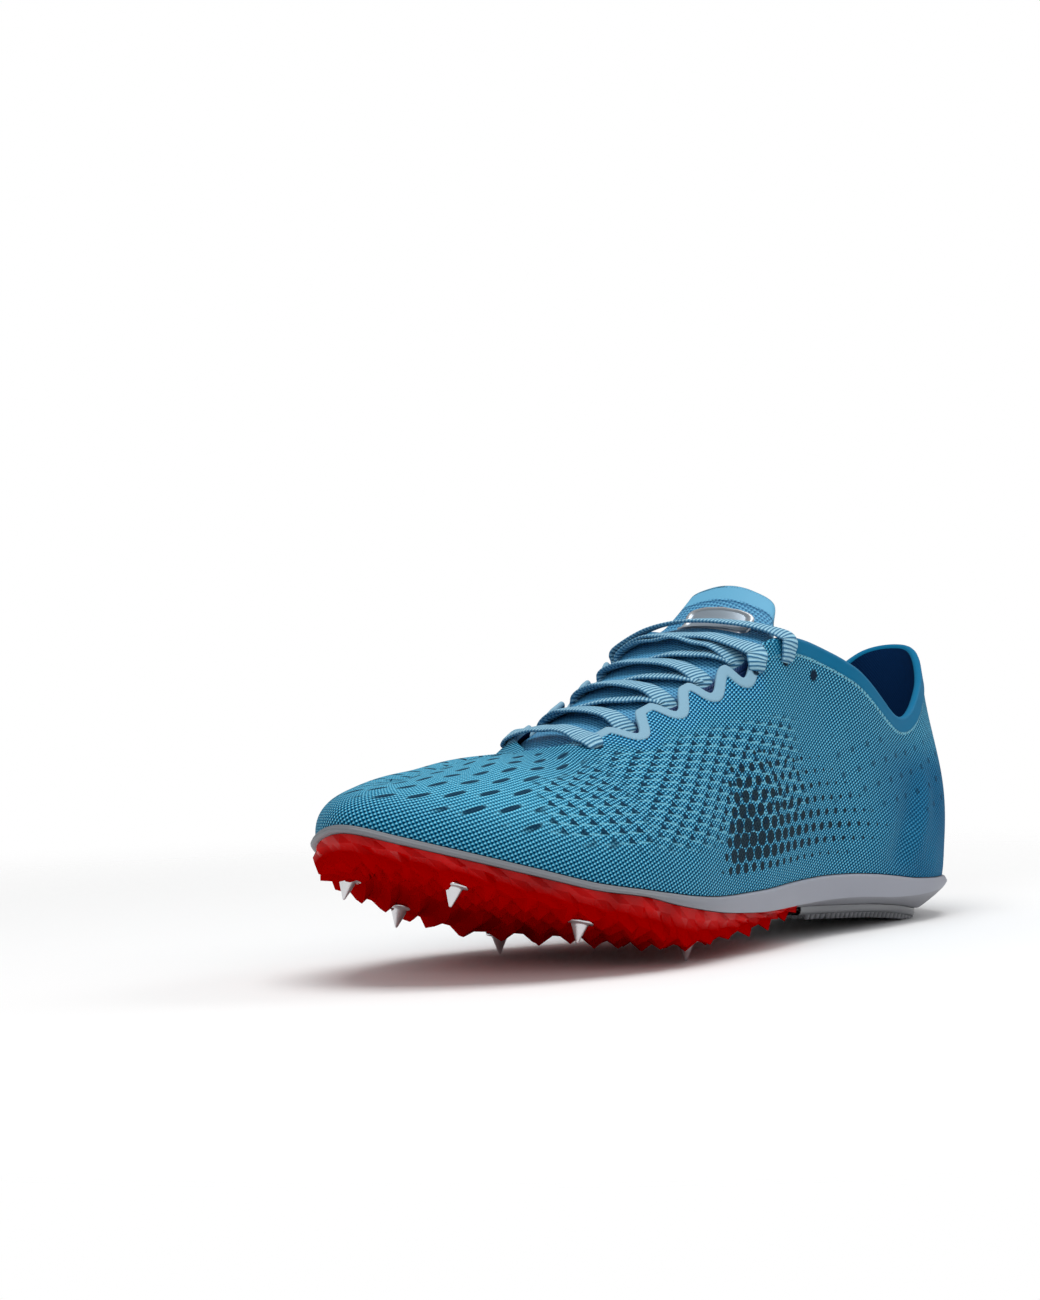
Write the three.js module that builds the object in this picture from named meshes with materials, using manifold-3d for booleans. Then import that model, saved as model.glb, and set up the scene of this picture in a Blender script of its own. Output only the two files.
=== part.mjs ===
// A left-foot track spike shoe for middle distances, in millimetres, +Z up, the toe towards +X and
// the outer side of the foot towards +Y. It stands on its heel tread and its two rear pins.
import * as THREE from "three";
import { mergeVertices } from "three/addons/utils/BufferGeometryUtils.js";
import Module from "manifold-3d";

const wasm = await Module();
wasm.setup();

// Driving sizes
const soleLength = 286;
const ballWidth = 94;
const heelWidth = 66;
const toeRimHeight = 48; // top of the midsole rim at the toe, over the floor
const upperRise = 77; // front corner of the collar over the rim below it
const collarRise = 77; // back of the collar over the heel rim
const upperWall = 1.8;
const rimLedge = 1.4; // how far the upper stands in from the midsole's rim
const seatGap = 0.3; // glue line between pieces that sit on each other
const throatNotchDepth = 11;
const throatNotchWidth = 13.5;
const eyeletRadius = 2.2;
const insoleThickness = 3;
const insoleClearance = 1.2;
const footbedDish = 1.5;
const plateFloor = 3;
const plateWall = 2.6;
const plateLip = 1.6;
const toothHeight = 4.2;
const treadThickness = 2.7;
const treadInset = 7;
const heelBevel = 9; // how much farther under the back of the heel the tread starts
const pinLength = 5.8;
const pinRadius = 2.7;
const pinTipRadius = 0.45;
const flangeRadius = 4.3;
const flangeThickness = 1.2;
const shankRadius = 2.2;
const shankLength = 2.2;
const coreDraft = 0.8; // how much narrower the midsole's core is at its floor
const pocketMargin = 0.9;
const treadBevel = 1;
const nubHeight = 1.6;
const nubRadius = 1.5;
const nubStep = 8;
const facetStep = 6.5;
const tongueThickness = 2.4;
const tongueUnderlap = 16;
const tongueGap = 0.9; // between the tongue and the wall over it
const tongueCrown = 9; // arch of the tongue where the throat would be as wide as the ball
const tongueTaper = 0.34;
const tongueLean = 11; // and how far back its free end stands
const tongueRise = 13; // how far the tongue stands above the collar's front corner
const laceWidth = 6;
const laceThickness = 1;
const laceClearance = 1.8;
const sliver = 0.02; // edges of the plate shorter than this are merged after its cuts

// Colours
const knitBlue = 0x2f93c8;
const tongueBlue = 0x4aa6d6;
const laceBlue = 0x6db4d6;
const plateRed = 0xd41410;
const foamGrey = 0xc9cbd0;
const treadGrey = 0x6a6a68;
const insoleBlue = 0x1c4f8c;
const steelGrey = 0xb9bcc0;

const plateStartRow = 5.2; // the rib row where the plate begins
const sideSteps = 3; // rings of pyramids up the plate's side
const underSteps = 6; // and under it
const heelStand = (treadThickness + seatGap) / toeRimHeight;
const pinStand = (pinLength + flangeThickness) / toeRimHeight;

// Heights along the sole. x is a share of soleLength from the heel; the rest are shares of
// toeRimHeight over the floor: the rim, the lower edge of the midsole's side, and the lowest
// smooth surface (the midsole's underside at the heel, the plate's between its teeth ahead).
const soleRows = table("x rim band base", [
  [0.0, 0.265, 0.235, 0.094],
  [0.05, 0.272, 0.222, heelStand],
  [0.09, 0.28, 0.2, heelStand],
  [0.15, 0.305, 0.19, 0.112],
  [0.2, 0.345, 0.2, 0.146],
  [0.25, 0.38, 0.225, 0.171],
  [0.3, 0.402, 0.245, 0.19],
  [0.36, 0.412, 0.253, 0.21],
  [0.42, 0.408, 0.254, 0.22],
  [0.5, 0.398, 0.242, 0.182],
  [0.56, 0.4, 0.225, 0.155],
  [0.6, 0.408, 0.226, pinStand],
  [0.665, 0.446, 0.315, pinStand],
  [0.7, 0.479, 0.41, 0.196],
  [0.74, 0.519, 0.477, 0.27],
  [0.8, 0.585, 0.54, 0.375],
  [0.86, 0.688, 0.642, 0.49],
  [0.92, 0.802, 0.756, 0.623],
  [0.97, 0.913, 0.867, 0.729],
  [1.0, 1.0, 0.954, 0.78],
]);

// The last, in two tables that share their first and last row. Each row is one rib of the upper,
// from the rim up to the collar, the throat or the ridge over the toes. x and topX are shares of
// soleLength, y and topY of the sole's width there, and top of the rise over the rim. bulge is in
// millimetres outwards. rise, over and drop place the rib's two handles, as shares of its height,
// its reach and its height.
const ribColumns = "x y topX topY top bulge rise over drop";
const outerRibs = table(ribColumns, [
  [0.0, 0.0, 0.009, -0.01, 1.0, 4.5, 0.42, 0.55, 0.36],
  [0.03, 0.303, 0.021, 0.14, 0.965, 4.5, 0.42, 0.55, 0.36],
  [0.09, 0.447, 0.066, 0.275, 0.815, 4.0, 0.42, 0.5, 0.34],
  [0.18, 0.492, 0.147, 0.375, 0.68, 3.5, 0.42, 0.45, 0.34],
  [0.3, 0.5, 0.262, 0.43, 0.865, 3.5, 0.42, 0.4, 0.4],
  [0.43, 0.42, 0.39, 0.334, 0.985, 3.5, 0.45, 0.3, 0.25],
  [0.54, 0.441, 0.5, 0.198, 0.862, 3.5, 0.5, 0.4, 0.13],
  [0.64, 0.489, 0.6, 0.126, 0.722, 3.5, 0.55, 0.42, 0.12],
  [0.705, 0.487, 0.675, 0.072, 0.592, 3.5, 0.58, 0.45, 0.1],
  [0.765, 0.46, 0.715, -0.075, 0.53, 3.0, 0.6, 0.5, 0.03],
  [0.845, 0.372, 0.776, -0.101, 0.482, 2.5, 0.62, 0.52, 0.0],
  [0.92, 0.239, 0.832, -0.117, 0.403, 2.0, 0.65, 0.55, 0.0],
  [0.975, 0.064, 0.878, -0.133, 0.322, 1.5, 0.65, 0.58, 0.0],
  [1.0, -0.128, 0.902, -0.144, 0.278, 1.5, 0.65, 0.6, 0.0],
]);
const innerRibs = table(ribColumns, [
  outerRibs[0],
  [0.022, -0.258, 0.024, -0.19, 0.97, 4.5, 0.42, 0.55, 0.36],
  [0.075, -0.409, 0.07, -0.3, 0.86, 4.0, 0.42, 0.5, 0.34],
  [0.165, -0.462, 0.16, -0.385, 0.77, 3.0, 0.42, 0.45, 0.34],
  [0.28, -0.424, 0.262, -0.39, 0.89, 3.0, 0.42, 0.4, 0.4],
  [0.4, -0.342, 0.395, -0.34, 1.005, 3.0, 0.45, 0.3, 0.25],
  [0.5, -0.351, 0.5, -0.255, 0.873, 2.5, 0.48, 0.4, 0.15],
  [0.59, -0.436, 0.6, -0.223, 0.724, 2.5, 0.52, 0.42, 0.14],
  [0.655, -0.489, 0.675, -0.202, 0.597, 2.5, 0.55, 0.45, 0.1],
  [0.72, -0.514, 0.715, -0.075, 0.53, 2.5, 0.6, 0.5, 0.03],
  [0.795, -0.505, 0.776, -0.101, 0.482, 2.5, 0.62, 0.52, 0.0],
  [0.88, -0.463, 0.832, -0.117, 0.403, 2.0, 0.65, 0.55, 0.0],
  [0.955, -0.351, 0.878, -0.133, 0.322, 1.5, 0.65, 0.58, 0.0],
  outerRibs[13],
]);
const throatRow = 9; // the front end of the throat
const toeRow = outerRibs.length - 1;

// Where the throat's notches and the lace's eyelets are, as rib rows, and the share of the rib's
// height that an eyelet sits at.
const notchRows = [5.93, 6.36, 6.84, 7.48];
const eyeletRows = table("row share", [
  [7.97, 0.89],
  [5.44, 0.87],
  [4.98, 0.89],
  [4.55, 0.87],
]);

// The pins. x is a share of soleLength and y of ballWidth.
const pinRows = table("x y", [
  [0.925, -0.28],
  [0.917, 0.13],
  [0.812, -0.36],
  [0.782, 0.3],
  [0.652, -0.34],
  [0.618, 0.345],
]);
const pinNames = ["toe_inner", "toe_outer", "mid_inner", "mid_outer", "ball_inner", "ball_outer"];

// Helpers for tables and curves

function table(columns, rows) {
  const names = columns.split(" ");
  return rows.map((row) =>
    Array.isArray(row) ? Object.fromEntries(names.map((name, k) => [name, row[k]])) : row,
  );
}

function lerp(a, b, t) {
  return a + (b - a) * t;
}

function smoothstep(low, high, x) {
  return THREE.MathUtils.smoothstep(x, low, high);
}

// A cubic through four even steps, from b at t = 0 to c at t = 1.
function catmull(a, b, c, d, t) {
  return (
    b + 0.5 * t * (c - a + t * (2 * a - 5 * b + 4 * c - d + t * (3 * (b - c) + d - a)))
  );
}

// A height of the sole at a share of its length, with level ends and no overshoot.
function soleHeight(x, column) {
  const rows = soleRows;
  const at = Math.min(Math.max(x, 0), 1);
  const k = Math.min(Math.max(rows.findIndex((row) => row.x >= at) - 1, 0), rows.length - 2);
  const slope = (j) => {
    if (j === 0 || j === rows.length - 1) {
      const from = Math.min(j, rows.length - 2);
      return (rows[from + 1][column] - rows[from][column]) / (rows[from + 1].x - rows[from].x);
    }
    const before = (rows[j][column] - rows[j - 1][column]) / (rows[j].x - rows[j - 1].x);
    const after = (rows[j + 1][column] - rows[j][column]) / (rows[j + 1].x - rows[j].x);
    return before * after <= 0 ? 0 : (2 * before * after) / (before + after);
  };
  const width = rows[k + 1].x - rows[k].x;
  const t = (at - rows[k].x) / width;
  const height =
    (1 + 2 * t) * (1 - t) ** 2 * rows[k][column] +
    t * (1 - t) ** 2 * width * slope(k) +
    t * t * (3 - 2 * t) * rows[k + 1][column] +
    t * t * (t - 1) * width * slope(k + 1);
  return height * toeRimHeight;
}

// The sole's full width, which grows from the heel's to the ball's.
function widthAt(x) {
  return lerp(heelWidth, ballWidth, smoothstep(0.3, 0.5, x));
}

// Any column of the ribs at a row number, smooth across the heel and the toe into the other side.
function ribValue(side, row, column) {
  const rows = side > 0 ? outerRibs : innerRibs;
  const other = side > 0 ? innerRibs : outerRibs;
  const k = Math.min(Math.floor(row), toeRow - 1);
  const at = (j) => {
    if (j < 0) return other[-j][column];
    return j > toeRow ? other[2 * toeRow - j][column] : rows[j][column];
  };
  return catmull(at(k - 1), at(k), at(k + 1), at(k + 2), row - k);
}

// The rim's outline in plan at a row number.
function rimPoint(side, row) {
  const x = ribValue(side, row, "x");
  return new THREE.Vector2(x * soleLength, ribValue(side, row, "y") * widthAt(x));
}

// The outline moved inwards, square to itself.
function insetPoint(side, row, inset) {
  const step = 0.02;
  const before = row < step ? rimPoint(-side, step) : rimPoint(side, row - step);
  const after = row > toeRow - step ? rimPoint(-side, toeRow - step) : rimPoint(side, row + step);
  const along = after.sub(before).normalize();
  const inward = new THREE.Vector2(along.y, -along.x).multiplyScalar(side * inset);
  return rimPoint(side, row).add(inward);
}

// The point of the sole's middle line that a row's ribs run to.
function middlePoint(row) {
  const margin = 0.055;
  const outer = rimPoint(1, row);
  const inner = rimPoint(-1, row);
  const x = Math.min(Math.max((outer.x + inner.x) / 2 / soleLength, margin), 1 - margin);
  return new THREE.Vector2(x * soleLength, (outer.y + inner.y) / 2);
}

// Quads between two rows of points, each as two triangles.
function strip(a, b) {
  return a.slice(1).flatMap((_, k) => [
    [a[k], b[k + 1], b[k]],
    [a[k], a[k + 1], b[k + 1]],
  ]);
}

// One geometry from triangles given as three points each. Corners in one place become one.
function surfaceFrom(triangles) {
  const geometry = new THREE.BufferGeometry().setFromPoints(triangles.flat());
  return mergeVertices(geometry, 1e-3);
}

// Triangles from the middle of a ring of points to its edges.
function fan(ring) {
  const centre = ring.reduce((sum, p) => sum.add(p), new THREE.Vector3());
  centre.divideScalar(ring.length);
  return ring.map((p, k) => [centre, p, ring[(k + 1) % ring.length]]);
}

// A sheet given as a grid of points, doubled at a distance below itself and closed at its edges.
function thicken(grid, wall) {
  const sheet = surfaceFrom(grid.slice(1).flatMap((row, k) => strip(grid[k], row)));
  sheet.computeVertexNormals();
  const { position, normal } = sheet.attributes;
  const outside = [];
  const inside = [];
  for (let k = 0; k < position.count; k++) {
    const at = new THREE.Vector3().fromBufferAttribute(position, k);
    const out = new THREE.Vector3().fromBufferAttribute(normal, k);
    outside.push(at);
    inside.push(at.clone().addScaledVector(out, -wall));
  }
  const triangles = [];
  const edges = new Map();
  for (let k = 0; k < sheet.index.count; k += 3) {
    const [a, b, c] = sheet.index.array.slice(k, k + 3);
    if (a === b || b === c || a === c) continue;
    triangles.push([outside[a], outside[b], outside[c]], [inside[a], inside[c], inside[b]]);
    for (const [from, to] of [[a, b], [b, c], [c, a]]) edges.set(`${from},${to}`, [from, to]);
  }
  for (const [from, to] of edges.values()) {
    if (edges.has(`${to},${from}`)) continue;
    triangles.push([outside[from], inside[from], inside[to]]);
    triangles.push([outside[from], inside[to], outside[to]]);
  }
  return surfaceFrom(triangles);
}

// A solid round the sole: every row of every side is a column of points from the middle line under
// it, through its rings, to the middle line over it. An end that isn't the heel or the toe is closed.
function soleLoft(rows, bottom, rings, top) {
  const column = (side, row) => [bottom(row), ...rings.map((ring) => ring(side, row)), top(row)];
  const outer = rows.map((row) => column(1, row));
  const inner = rows.map((row) => column(-1, row));
  const triangles = [];
  for (let k = 1; k < rows.length; k++) {
    triangles.push(...strip(outer[k - 1], outer[k]), ...strip(inner[k], inner[k - 1]));
  }
  const face = (a, b) => fan([...a, ...b.slice(1, -1).reverse()]);
  if (rows[0] !== 0) triangles.push(...face(inner[0], outer[0]));
  const last = rows.length - 1;
  if (rows[last] !== toeRow) triangles.push(...face(outer[last], inner[last]));
  return surfaceFrom(triangles.filter(([a, b, c]) => a !== b && b !== c && a !== c));
}

// The manifold of a closed geometry, and a geometry from a manifold.
function manifoldOf(geometry) {
  const bare = geometry.clone();
  bare.deleteAttribute("normal");
  bare.deleteAttribute("uv");
  const merged = mergeVertices(bare, 1e-3);
  const corners = Array.from(merged.index.array);
  const kept = [];
  for (let k = 0; k < corners.length; k += 3) {
    const [a, b, c] = corners.slice(k, k + 3);
    if (a !== b && b !== c && a !== c) kept.push(a, b, c);
  }
  return new wasm.Manifold(
    new wasm.Mesh({
      numProp: 3,
      vertProperties: merged.attributes.position.array,
      triVerts: new Uint32Array(kept),
    }),
  );
}

function geometryOf(solid) {
  const mesh = solid.getMesh();
  const geometry = new THREE.BufferGeometry();
  geometry.setAttribute("position", new THREE.BufferAttribute(mesh.vertProperties, 3));
  geometry.setIndex(new THREE.BufferAttribute(mesh.triVerts, 1));
  return geometry;
}

// A geometry whose own +Y is turned to an axis and whose origin is moved to a point.
function placed(geometry, point, axis) {
  const turn = new THREE.Quaternion().setFromUnitVectors(new THREE.Vector3(0, 1, 0), axis);
  return geometry.applyQuaternion(turn).translate(point.x, point.y, point.z);
}

// Rings of the sole

// The outline moved in by inset, at a height worked out from its share of the length.
function soleRing(inset, height) {
  return (side, row) => {
    const plan = insetPoint(side, row, typeof inset === "function" ? inset(row) : inset);
    return new THREE.Vector3(plan.x, plan.y, height(plan.x / soleLength, row));
  };
}

function middleLine(height) {
  return (row) => {
    const plan = middlePoint(row);
    return new THREE.Vector3(plan.x, plan.y, height(plan.x / soleLength, row));
  };
}

// Rows an even step apart along the outline, from one row to another.
function evenRows(from, to, step) {
  const fine = 0.02;
  const rows = [];
  const lengths = [0];
  for (let row = from; row < to + fine / 2; row += fine) {
    rows.push(row);
    if (rows.length === 1) continue;
    const outer = rimPoint(1, row).distanceTo(rimPoint(1, row - fine));
    const inner = rimPoint(-1, row).distanceTo(rimPoint(-1, row - fine));
    lengths.push(lengths[lengths.length - 1] + (outer + inner) / 2);
  }
  const total = lengths[lengths.length - 1];
  const count = Math.round(total / step);
  return Array.from({ length: count + 1 }, (_, k) => {
    if (k === 0 || k === count) return k ? to : from;
    return rows[lengths.findIndex((length) => length >= (total * k) / count)];
  });
}

const upperSeat = rimLedge + upperWall;
const coreInset = plateLip + plateWall + seatGap;
const rimEdge = 1.2; // rounding of the midsole's rim
// The underside's edge, which lies farther in at the back of the heel.
const heelInset = (row) => treadInset + heelBevel * (1 - smoothstep(0, 2.6, row));
const inPlate = (row) => smoothstep(plateStartRow - 0.5, plateStartRow - 0.3, row);
const heelRows = evenRows(0, plateStartRow - 0.3, 11);
const plateRows = evenRows(plateStartRow, toeRow, facetStep);
const rimTop = (x) => soleHeight(x, "rim");
const footbed = (x) => soleHeight(x, "rim") - footbedDish;
const band = (x) => soleHeight(x, "band");
const base = (x) => soleHeight(x, "base");

// Midsole: a rounded rim, an upright side, a tuck under the heel, and a core inside the plate
function midsole() {
  const dish = upperSeat + insoleClearance;
  const underside = (x, row) => base(x) + inPlate(row) * (plateFloor + seatGap);
  const tuck = (x, row) => lerp(lerp(base(x), band(x), 0.45), band(x), inPlate(row));
  return soleLoft(
    [...heelRows, ...plateRows],
    middleLine(underside),
    [
      soleRing((row) => lerp(heelInset(row), coreInset + coreDraft, inPlate(row)), underside),
      soleRing((row) => lerp(heelInset(row) * 0.35, coreInset, inPlate(row)), tuck),
      soleRing(0, band),
      soleRing(0, (x) => rimTop(x) - rimEdge),
      soleRing(rimEdge * 0.4, rimTop),
      soleRing(dish - footbedDish, rimTop),
      soleRing(dish, footbed),
    ],
    middleLine(footbed),
  );
}

// Spike plate: a tray round the midsole's core, its outside all small uneven pyramids
function spikePlate() {
  const rows = plateRows;
  const lid = (x) => band(x) - seatGap;
  const lip = soleRing(plateLip, lid);
  const edge = soleRing(plateLip + 1.5, (x) => lerp(base(x), lid(x), 0.1));
  const under = soleRing(plateLip + 1.5, base);
  const middle = middleLine(base);
  const smooth = [];
  for (let j = underSteps - 1; j > 0; j--) {
    smooth.push((side, row) => under(side, row).lerp(middle(row), j / underSteps));
  }
  for (let j = sideSteps; j >= 0; j--) {
    smooth.push((side, row) => lip(side, row).lerp(edge(side, row), j / sideSteps));
  }
  // Every third corner of the lattice is the tip of a pyramid.
  const faceted = smooth.map((ring, j) => (side, row) => {
    const point = ring(side, row);
    const k = rows.indexOf(row);
    const column = side > 0 ? k : 2 * (rows.length - 1) - k;
    if (k === 0 || j === smooth.length - 1 || (column + j) % 3 !== 0) return point;
    const out = insetPoint(side, row, 0).sub(insetPoint(side, row, 1));
    const upright = smoothstep(underSteps - 2, smooth.length - 1, j);
    const push = new THREE.Vector3(out.x * upright, out.y * upright, upright - 1);
    const height = toothHeight * lerp(0.55, 1, hash(column, j)) * lerp(1, 0.5, upright);
    return point.addScaledVector(push, height);
  });
  const tray = manifoldOf(soleLoft(rows, middle, faceted, middleLine(lid)));
  const coreFloor = (x) => base(x) + plateFloor;
  const coreTop = (x) => lid(x) + plateFloor;
  const core = soleLoft(
    [heelRows[heelRows.length - 1], ...plateRows],
    middleLine(coreFloor),
    [
      soleRing(coreInset + coreDraft - seatGap, coreFloor),
      soleRing(coreInset - seatGap, lid),
      soleRing(coreInset - seatGap, coreTop),
    ],
    middleLine(coreTop),
  );
  let plate = tray.subtract(manifoldOf(core));
  for (const seat of pinSeats()) {
    plate = plate.subtract(manifoldOf(pinPocket(seat)));
  }
  return geometryOf(plate.simplify(sliver));
}

// An uneven but repeatable number from 0 to 1 for a place in a lattice.
function hash(i, j) {
  const value = Math.sin(i * 127.1 + j * 311.7) * 43758.5453;
  return value - Math.floor(value);
}

// Where each pin stands on the plate, and the direction that is square to the sole there.
function pinSeats() {
  const step = 0.01;
  return pinRows.map(({ x, y }) => {
    const rise = (base(x + step) - base(x - step)) / (2 * step * soleLength);
    return {
      point: new THREE.Vector3(x * soleLength, y * ballWidth, base(x)),
      up: new THREE.Vector3(-rise, 0, 1).normalize(),
    };
  });
}

// A pin: a flat flange under the plate, a cone below it and a threaded shank above it.
function pin({ point, up }) {
  const foot = -flangeThickness - pinLength;
  const profile = [
    [0, foot],
    [pinTipRadius, foot],
    [pinRadius, -flangeThickness],
    [flangeRadius, -flangeThickness],
    [flangeRadius, 0],
    [shankRadius, 0],
    [shankRadius, shankLength],
    [0, shankLength],
  ].map(([radius, height]) => new THREE.Vector2(radius, height));
  return placed(new THREE.LatheGeometry(profile, 12), point, up);
}

// The room that a pin needs in the plate: a flat seat among the pyramids and a hole for its shank.
function pinPocket({ point, up }) {
  const depth = toothHeight * 2;
  const profile = [
    [0, -depth],
    [flangeRadius + pocketMargin, -depth],
    [flangeRadius + pocketMargin, seatGap],
    [shankRadius + seatGap, seatGap],
    [shankRadius + seatGap, shankLength + seatGap],
    [0, shankLength + seatGap],
  ].map(([radius, height]) => new THREE.Vector2(radius, height));
  return placed(new THREE.LatheGeometry(profile, 14), point, up);
}

// Heel tread: a strip under the heel and the arch, with nubs where it rises off the floor
function heelTread() {
  const top = (x) => base(x) - seatGap;
  const bottom = (x) => base(x) - seatGap - treadThickness;
  const end = plateStartRow - 0.75;
  let tread = manifoldOf(
    soleLoft(
      evenRows(0, end, 10),
      middleLine(bottom),
      [
        soleRing((row) => heelInset(row) + treadBevel + 1, bottom),
        soleRing((row) => heelInset(row) + 1, (x) => bottom(x) + treadBevel),
        soleRing((row) => heelInset(row) + 1, top),
      ],
      middleLine(top),
    ),
  );
  for (const side of [1, -1]) {
    for (const row of evenRows(2.3, end - 0.2, nubStep)) {
      for (const inset of [treadInset + 4, treadInset + 4 + nubStep]) {
        const plan = insetPoint(side, row, inset);
        const point = new THREE.Vector3(plan.x, plan.y, bottom(plan.x / soleLength));
        const nub = new THREE.CylinderGeometry(nubRadius * 0.45, nubRadius, nubHeight + 0.6, 4);
        nub.translate(0, nubHeight / 2 - 0.3, 0);
        if (point.z > nubHeight + 0.2) {
          tread = tread.add(manifoldOf(placed(nub, point, new THREE.Vector3(0, 0, -1))));
        }
      }
    }
  }
  return geometryOf(tread);
}

// Insole: a soft board inside the upper's wall, on the footbed
function insole() {
  const inset = upperSeat + insoleClearance;
  const bottom = (x) => footbed(x) + seatGap;
  const top = (x) => bottom(x) + insoleThickness;
  return soleLoft(
    evenRows(0, toeRow, 13),
    middleLine(bottom),
    [soleRing(inset + 0.4, bottom), soleRing(inset, top)],
    middleLine(top),
  );
}

// Upper: one knitted wall, every rib of it a curve from the rim to the collar, throat or ridge

// The place where a rib ends. Ahead of the throat both sides end on one ridge.
function ribTop(side, row) {
  const value = (column) => {
    const own = ribValue(side, row, column);
    return row > throatRow ? (own + ribValue(-side, row, column)) / 2 : own;
  };
  const x = value("topX");
  const rise = lerp(collarRise, upperRise, smoothstep(0.1, 0.35, x));
  return new THREE.Vector3(
    x * soleLength,
    value("topY") * widthAt(x),
    rimTop(x) + value("top") * rise,
  );
}

function rib(side, row) {
  const plan = insetPoint(side, row, rimLedge);
  const foot = new THREE.Vector3(plan.x, plan.y, rimTop(plan.x / soleLength) + seatGap);
  const end = ribTop(side, row);
  const reach = foot.clone().sub(end).setZ(0);
  const height = end.z - foot.z;
  const out = insetPoint(side, row, 0).sub(insetPoint(side, row, 1));
  const value = (column) => ribValue(side, row, column);
  const low = foot.clone().add(new THREE.Vector3(out.x, out.y, 0).multiplyScalar(value("bulge")));
  low.z += value("rise") * height;
  const high = end.clone().addScaledVector(reach, value("over"));
  high.z -= value("drop") * height;
  return new THREE.CubicBezierCurve3(foot, low, high, end);
}

// A point of the wall's outside, a share of the way up its rib, moved out along its normal.
function wallPoint(side, row, share, out = 0) {
  return rib(side, row).getPoint(share).addScaledVector(wallNormal(side, row, share), out);
}

function wallNormal(side, row, share) {
  const step = 0.02;
  const up = rib(side, row).getTangent(share);
  const ahead = rib(side, Math.min(row + step, toeRow)).getPoint(share);
  const along = ahead.sub(rib(side, Math.max(row - step, 0)).getPoint(share));
  return up.cross(along).multiplyScalar(side).normalize();
}

// How far up its rib the wall reaches: all the way, but for the waves along the throat.
function wallTop(side, row) {
  const here = ribTop(side, row);
  const near = Math.min(...notchRows.map((notch) => ribTop(side, notch).distanceTo(here)));
  const wave = 0.5 + 0.5 * Math.cos(Math.PI * Math.min(near / (throatNotchWidth / 2), 1));
  return 1 - (throatNotchDepth * wave ** 0.8) / rib(side, row).getLength();
}

function upper() {
  const notchSteps = [-0.2, -0.13, -0.06, 0, 0.06, 0.13, 0.2];
  const rows = [
    ...[0, 0.4, 0.8, 1.2, 1.6, 2, 2.5, 3, 3.5, 4, 4.4, 4.8, 5.2, 5.6],
    ...notchRows.flatMap((notch) => notchSteps.map((step) => notch + step)),
    ...[7.85, 8.15, 8.5, 9, 9.5, 10, 10.5, 11, 11.4, 11.8, 12.2, 12.6, 13],
  ];
  const shares = [0, 0.1, 0.22, 0.36, 0.51, 0.67, 0.84, 1];
  const column = (side, row) => shares.map((share) => {
    return rib(side, row).getPoint(share * wallTop(side, row));
  });
  const grid = [
    ...rows.map((row) => column(1, row)),
    ...rows.slice(0, -1).reverse().map((row) => column(-1, row)),
  ];
  let wall = manifoldOf(thicken(grid, upperWall));
  for (const side of [1, -1]) {
    for (const { row, share } of eyeletRows) {
      const hole = new THREE.CylinderGeometry(eyeletRadius, eyeletRadius, upperWall * 4, 8);
      const at = wallPoint(side, row, share);
      wall = wall.subtract(manifoldOf(placed(hole, at, wallNormal(side, row, share))));
    }
  }
  return geometryOf(wall);
}

// Tongue: a pad under the throat that stands up out of the collar

// A section of the tongue: along the inside of the wall, over the throat in a low arch, and down
// the other side.
function tongueSection(row) {
  const flank = (side) => {
    const reach = tongueUnderlap / rib(side, row).getLength();
    const inward = -(upperWall + tongueGap);
    return [1, 0.5, 0].map((part) => wallPoint(side, row, 0.995 - part * reach, inward));
  };
  const outer = flank(1);
  const inner = flank(-1).reverse();
  const width = outer[2].distanceTo(inner[0]);
  const arch = [0.25, 0.5, 0.75].map((t) => {
    const at = outer[2].clone().lerp(inner[0], t);
    at.z += tongueCrown * (width / ballWidth) * 4 * t * (1 - t);
    return at;
  });
  return [...outer, ...arch, ...inner];
}

function tongue() {
  const rows = [10, 9.5, 9, 8.5, 8, 7.5, 7, 6.5, 6, 5.5, 5];
  const sections = rows.map(tongueSection);
  const last = sections[sections.length - 1];
  const middle = last[4];
  // The free end stands up, and its corners round off towards the middle.
  for (const step of [0.3, 0.6, 0.85, 1]) {
    const narrow = 1 - tongueTaper * Math.sqrt(step);
    sections.push(
      last.map((p) => {
        const at = p.clone();
        at.y = lerp(middle.y, p.y, narrow);
        at.x -= tongueLean * step;
        at.z += tongueRise * step;
        return at;
      }),
    );
  }
  return thicken(sections.reverse(), tongueThickness);
}

// Lace: flat bars over the tongue, joined where they cross

// A bar from one place on the wall over the throat to another: up the wall to the throat's edge,
// over it as the tongue arches, and down the other side.
function laceBar(from, to, side) {
  const over = laceClearance + laceThickness;
  const climb = ([row, share], on) => [0, 1].map((t) => {
    const here = lerp(share, 1, t);
    return { at: wallPoint(on, row, here, over * lerp(1, 1.25, t)), out: wallNormal(on, row, here) };
  });
  const start = climb(from, side);
  const end = climb(to, -side).reverse();
  const width = start[1].at.distanceTo(end[0].at);
  const arch = [0.3, 0.7].map((t) => {
    const at = start[1].at.clone().lerp(end[0].at, t);
    at.z += (tongueCrown * width * 4 * t * (1 - t)) / ballWidth;
    const out = start[1].out.clone().lerp(end[0].out, t);
    return { at, out: out.add(new THREE.Vector3(0, 0, 1)).normalize() };
  });
  const path = [...start, ...arch, ...end];
  const grid = path.map(({ at, out }, k) => {
    const next = path[Math.min(k + 1, path.length - 1)].at;
    const along = next.clone().sub(path[Math.max(k - 1, 0)].at);
    const across = along.cross(out).normalize().multiplyScalar(laceWidth / 2);
    return [at.clone().add(across), at.clone().sub(across)];
  });
  return manifoldOf(thicken(grid, laceThickness));
}

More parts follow.
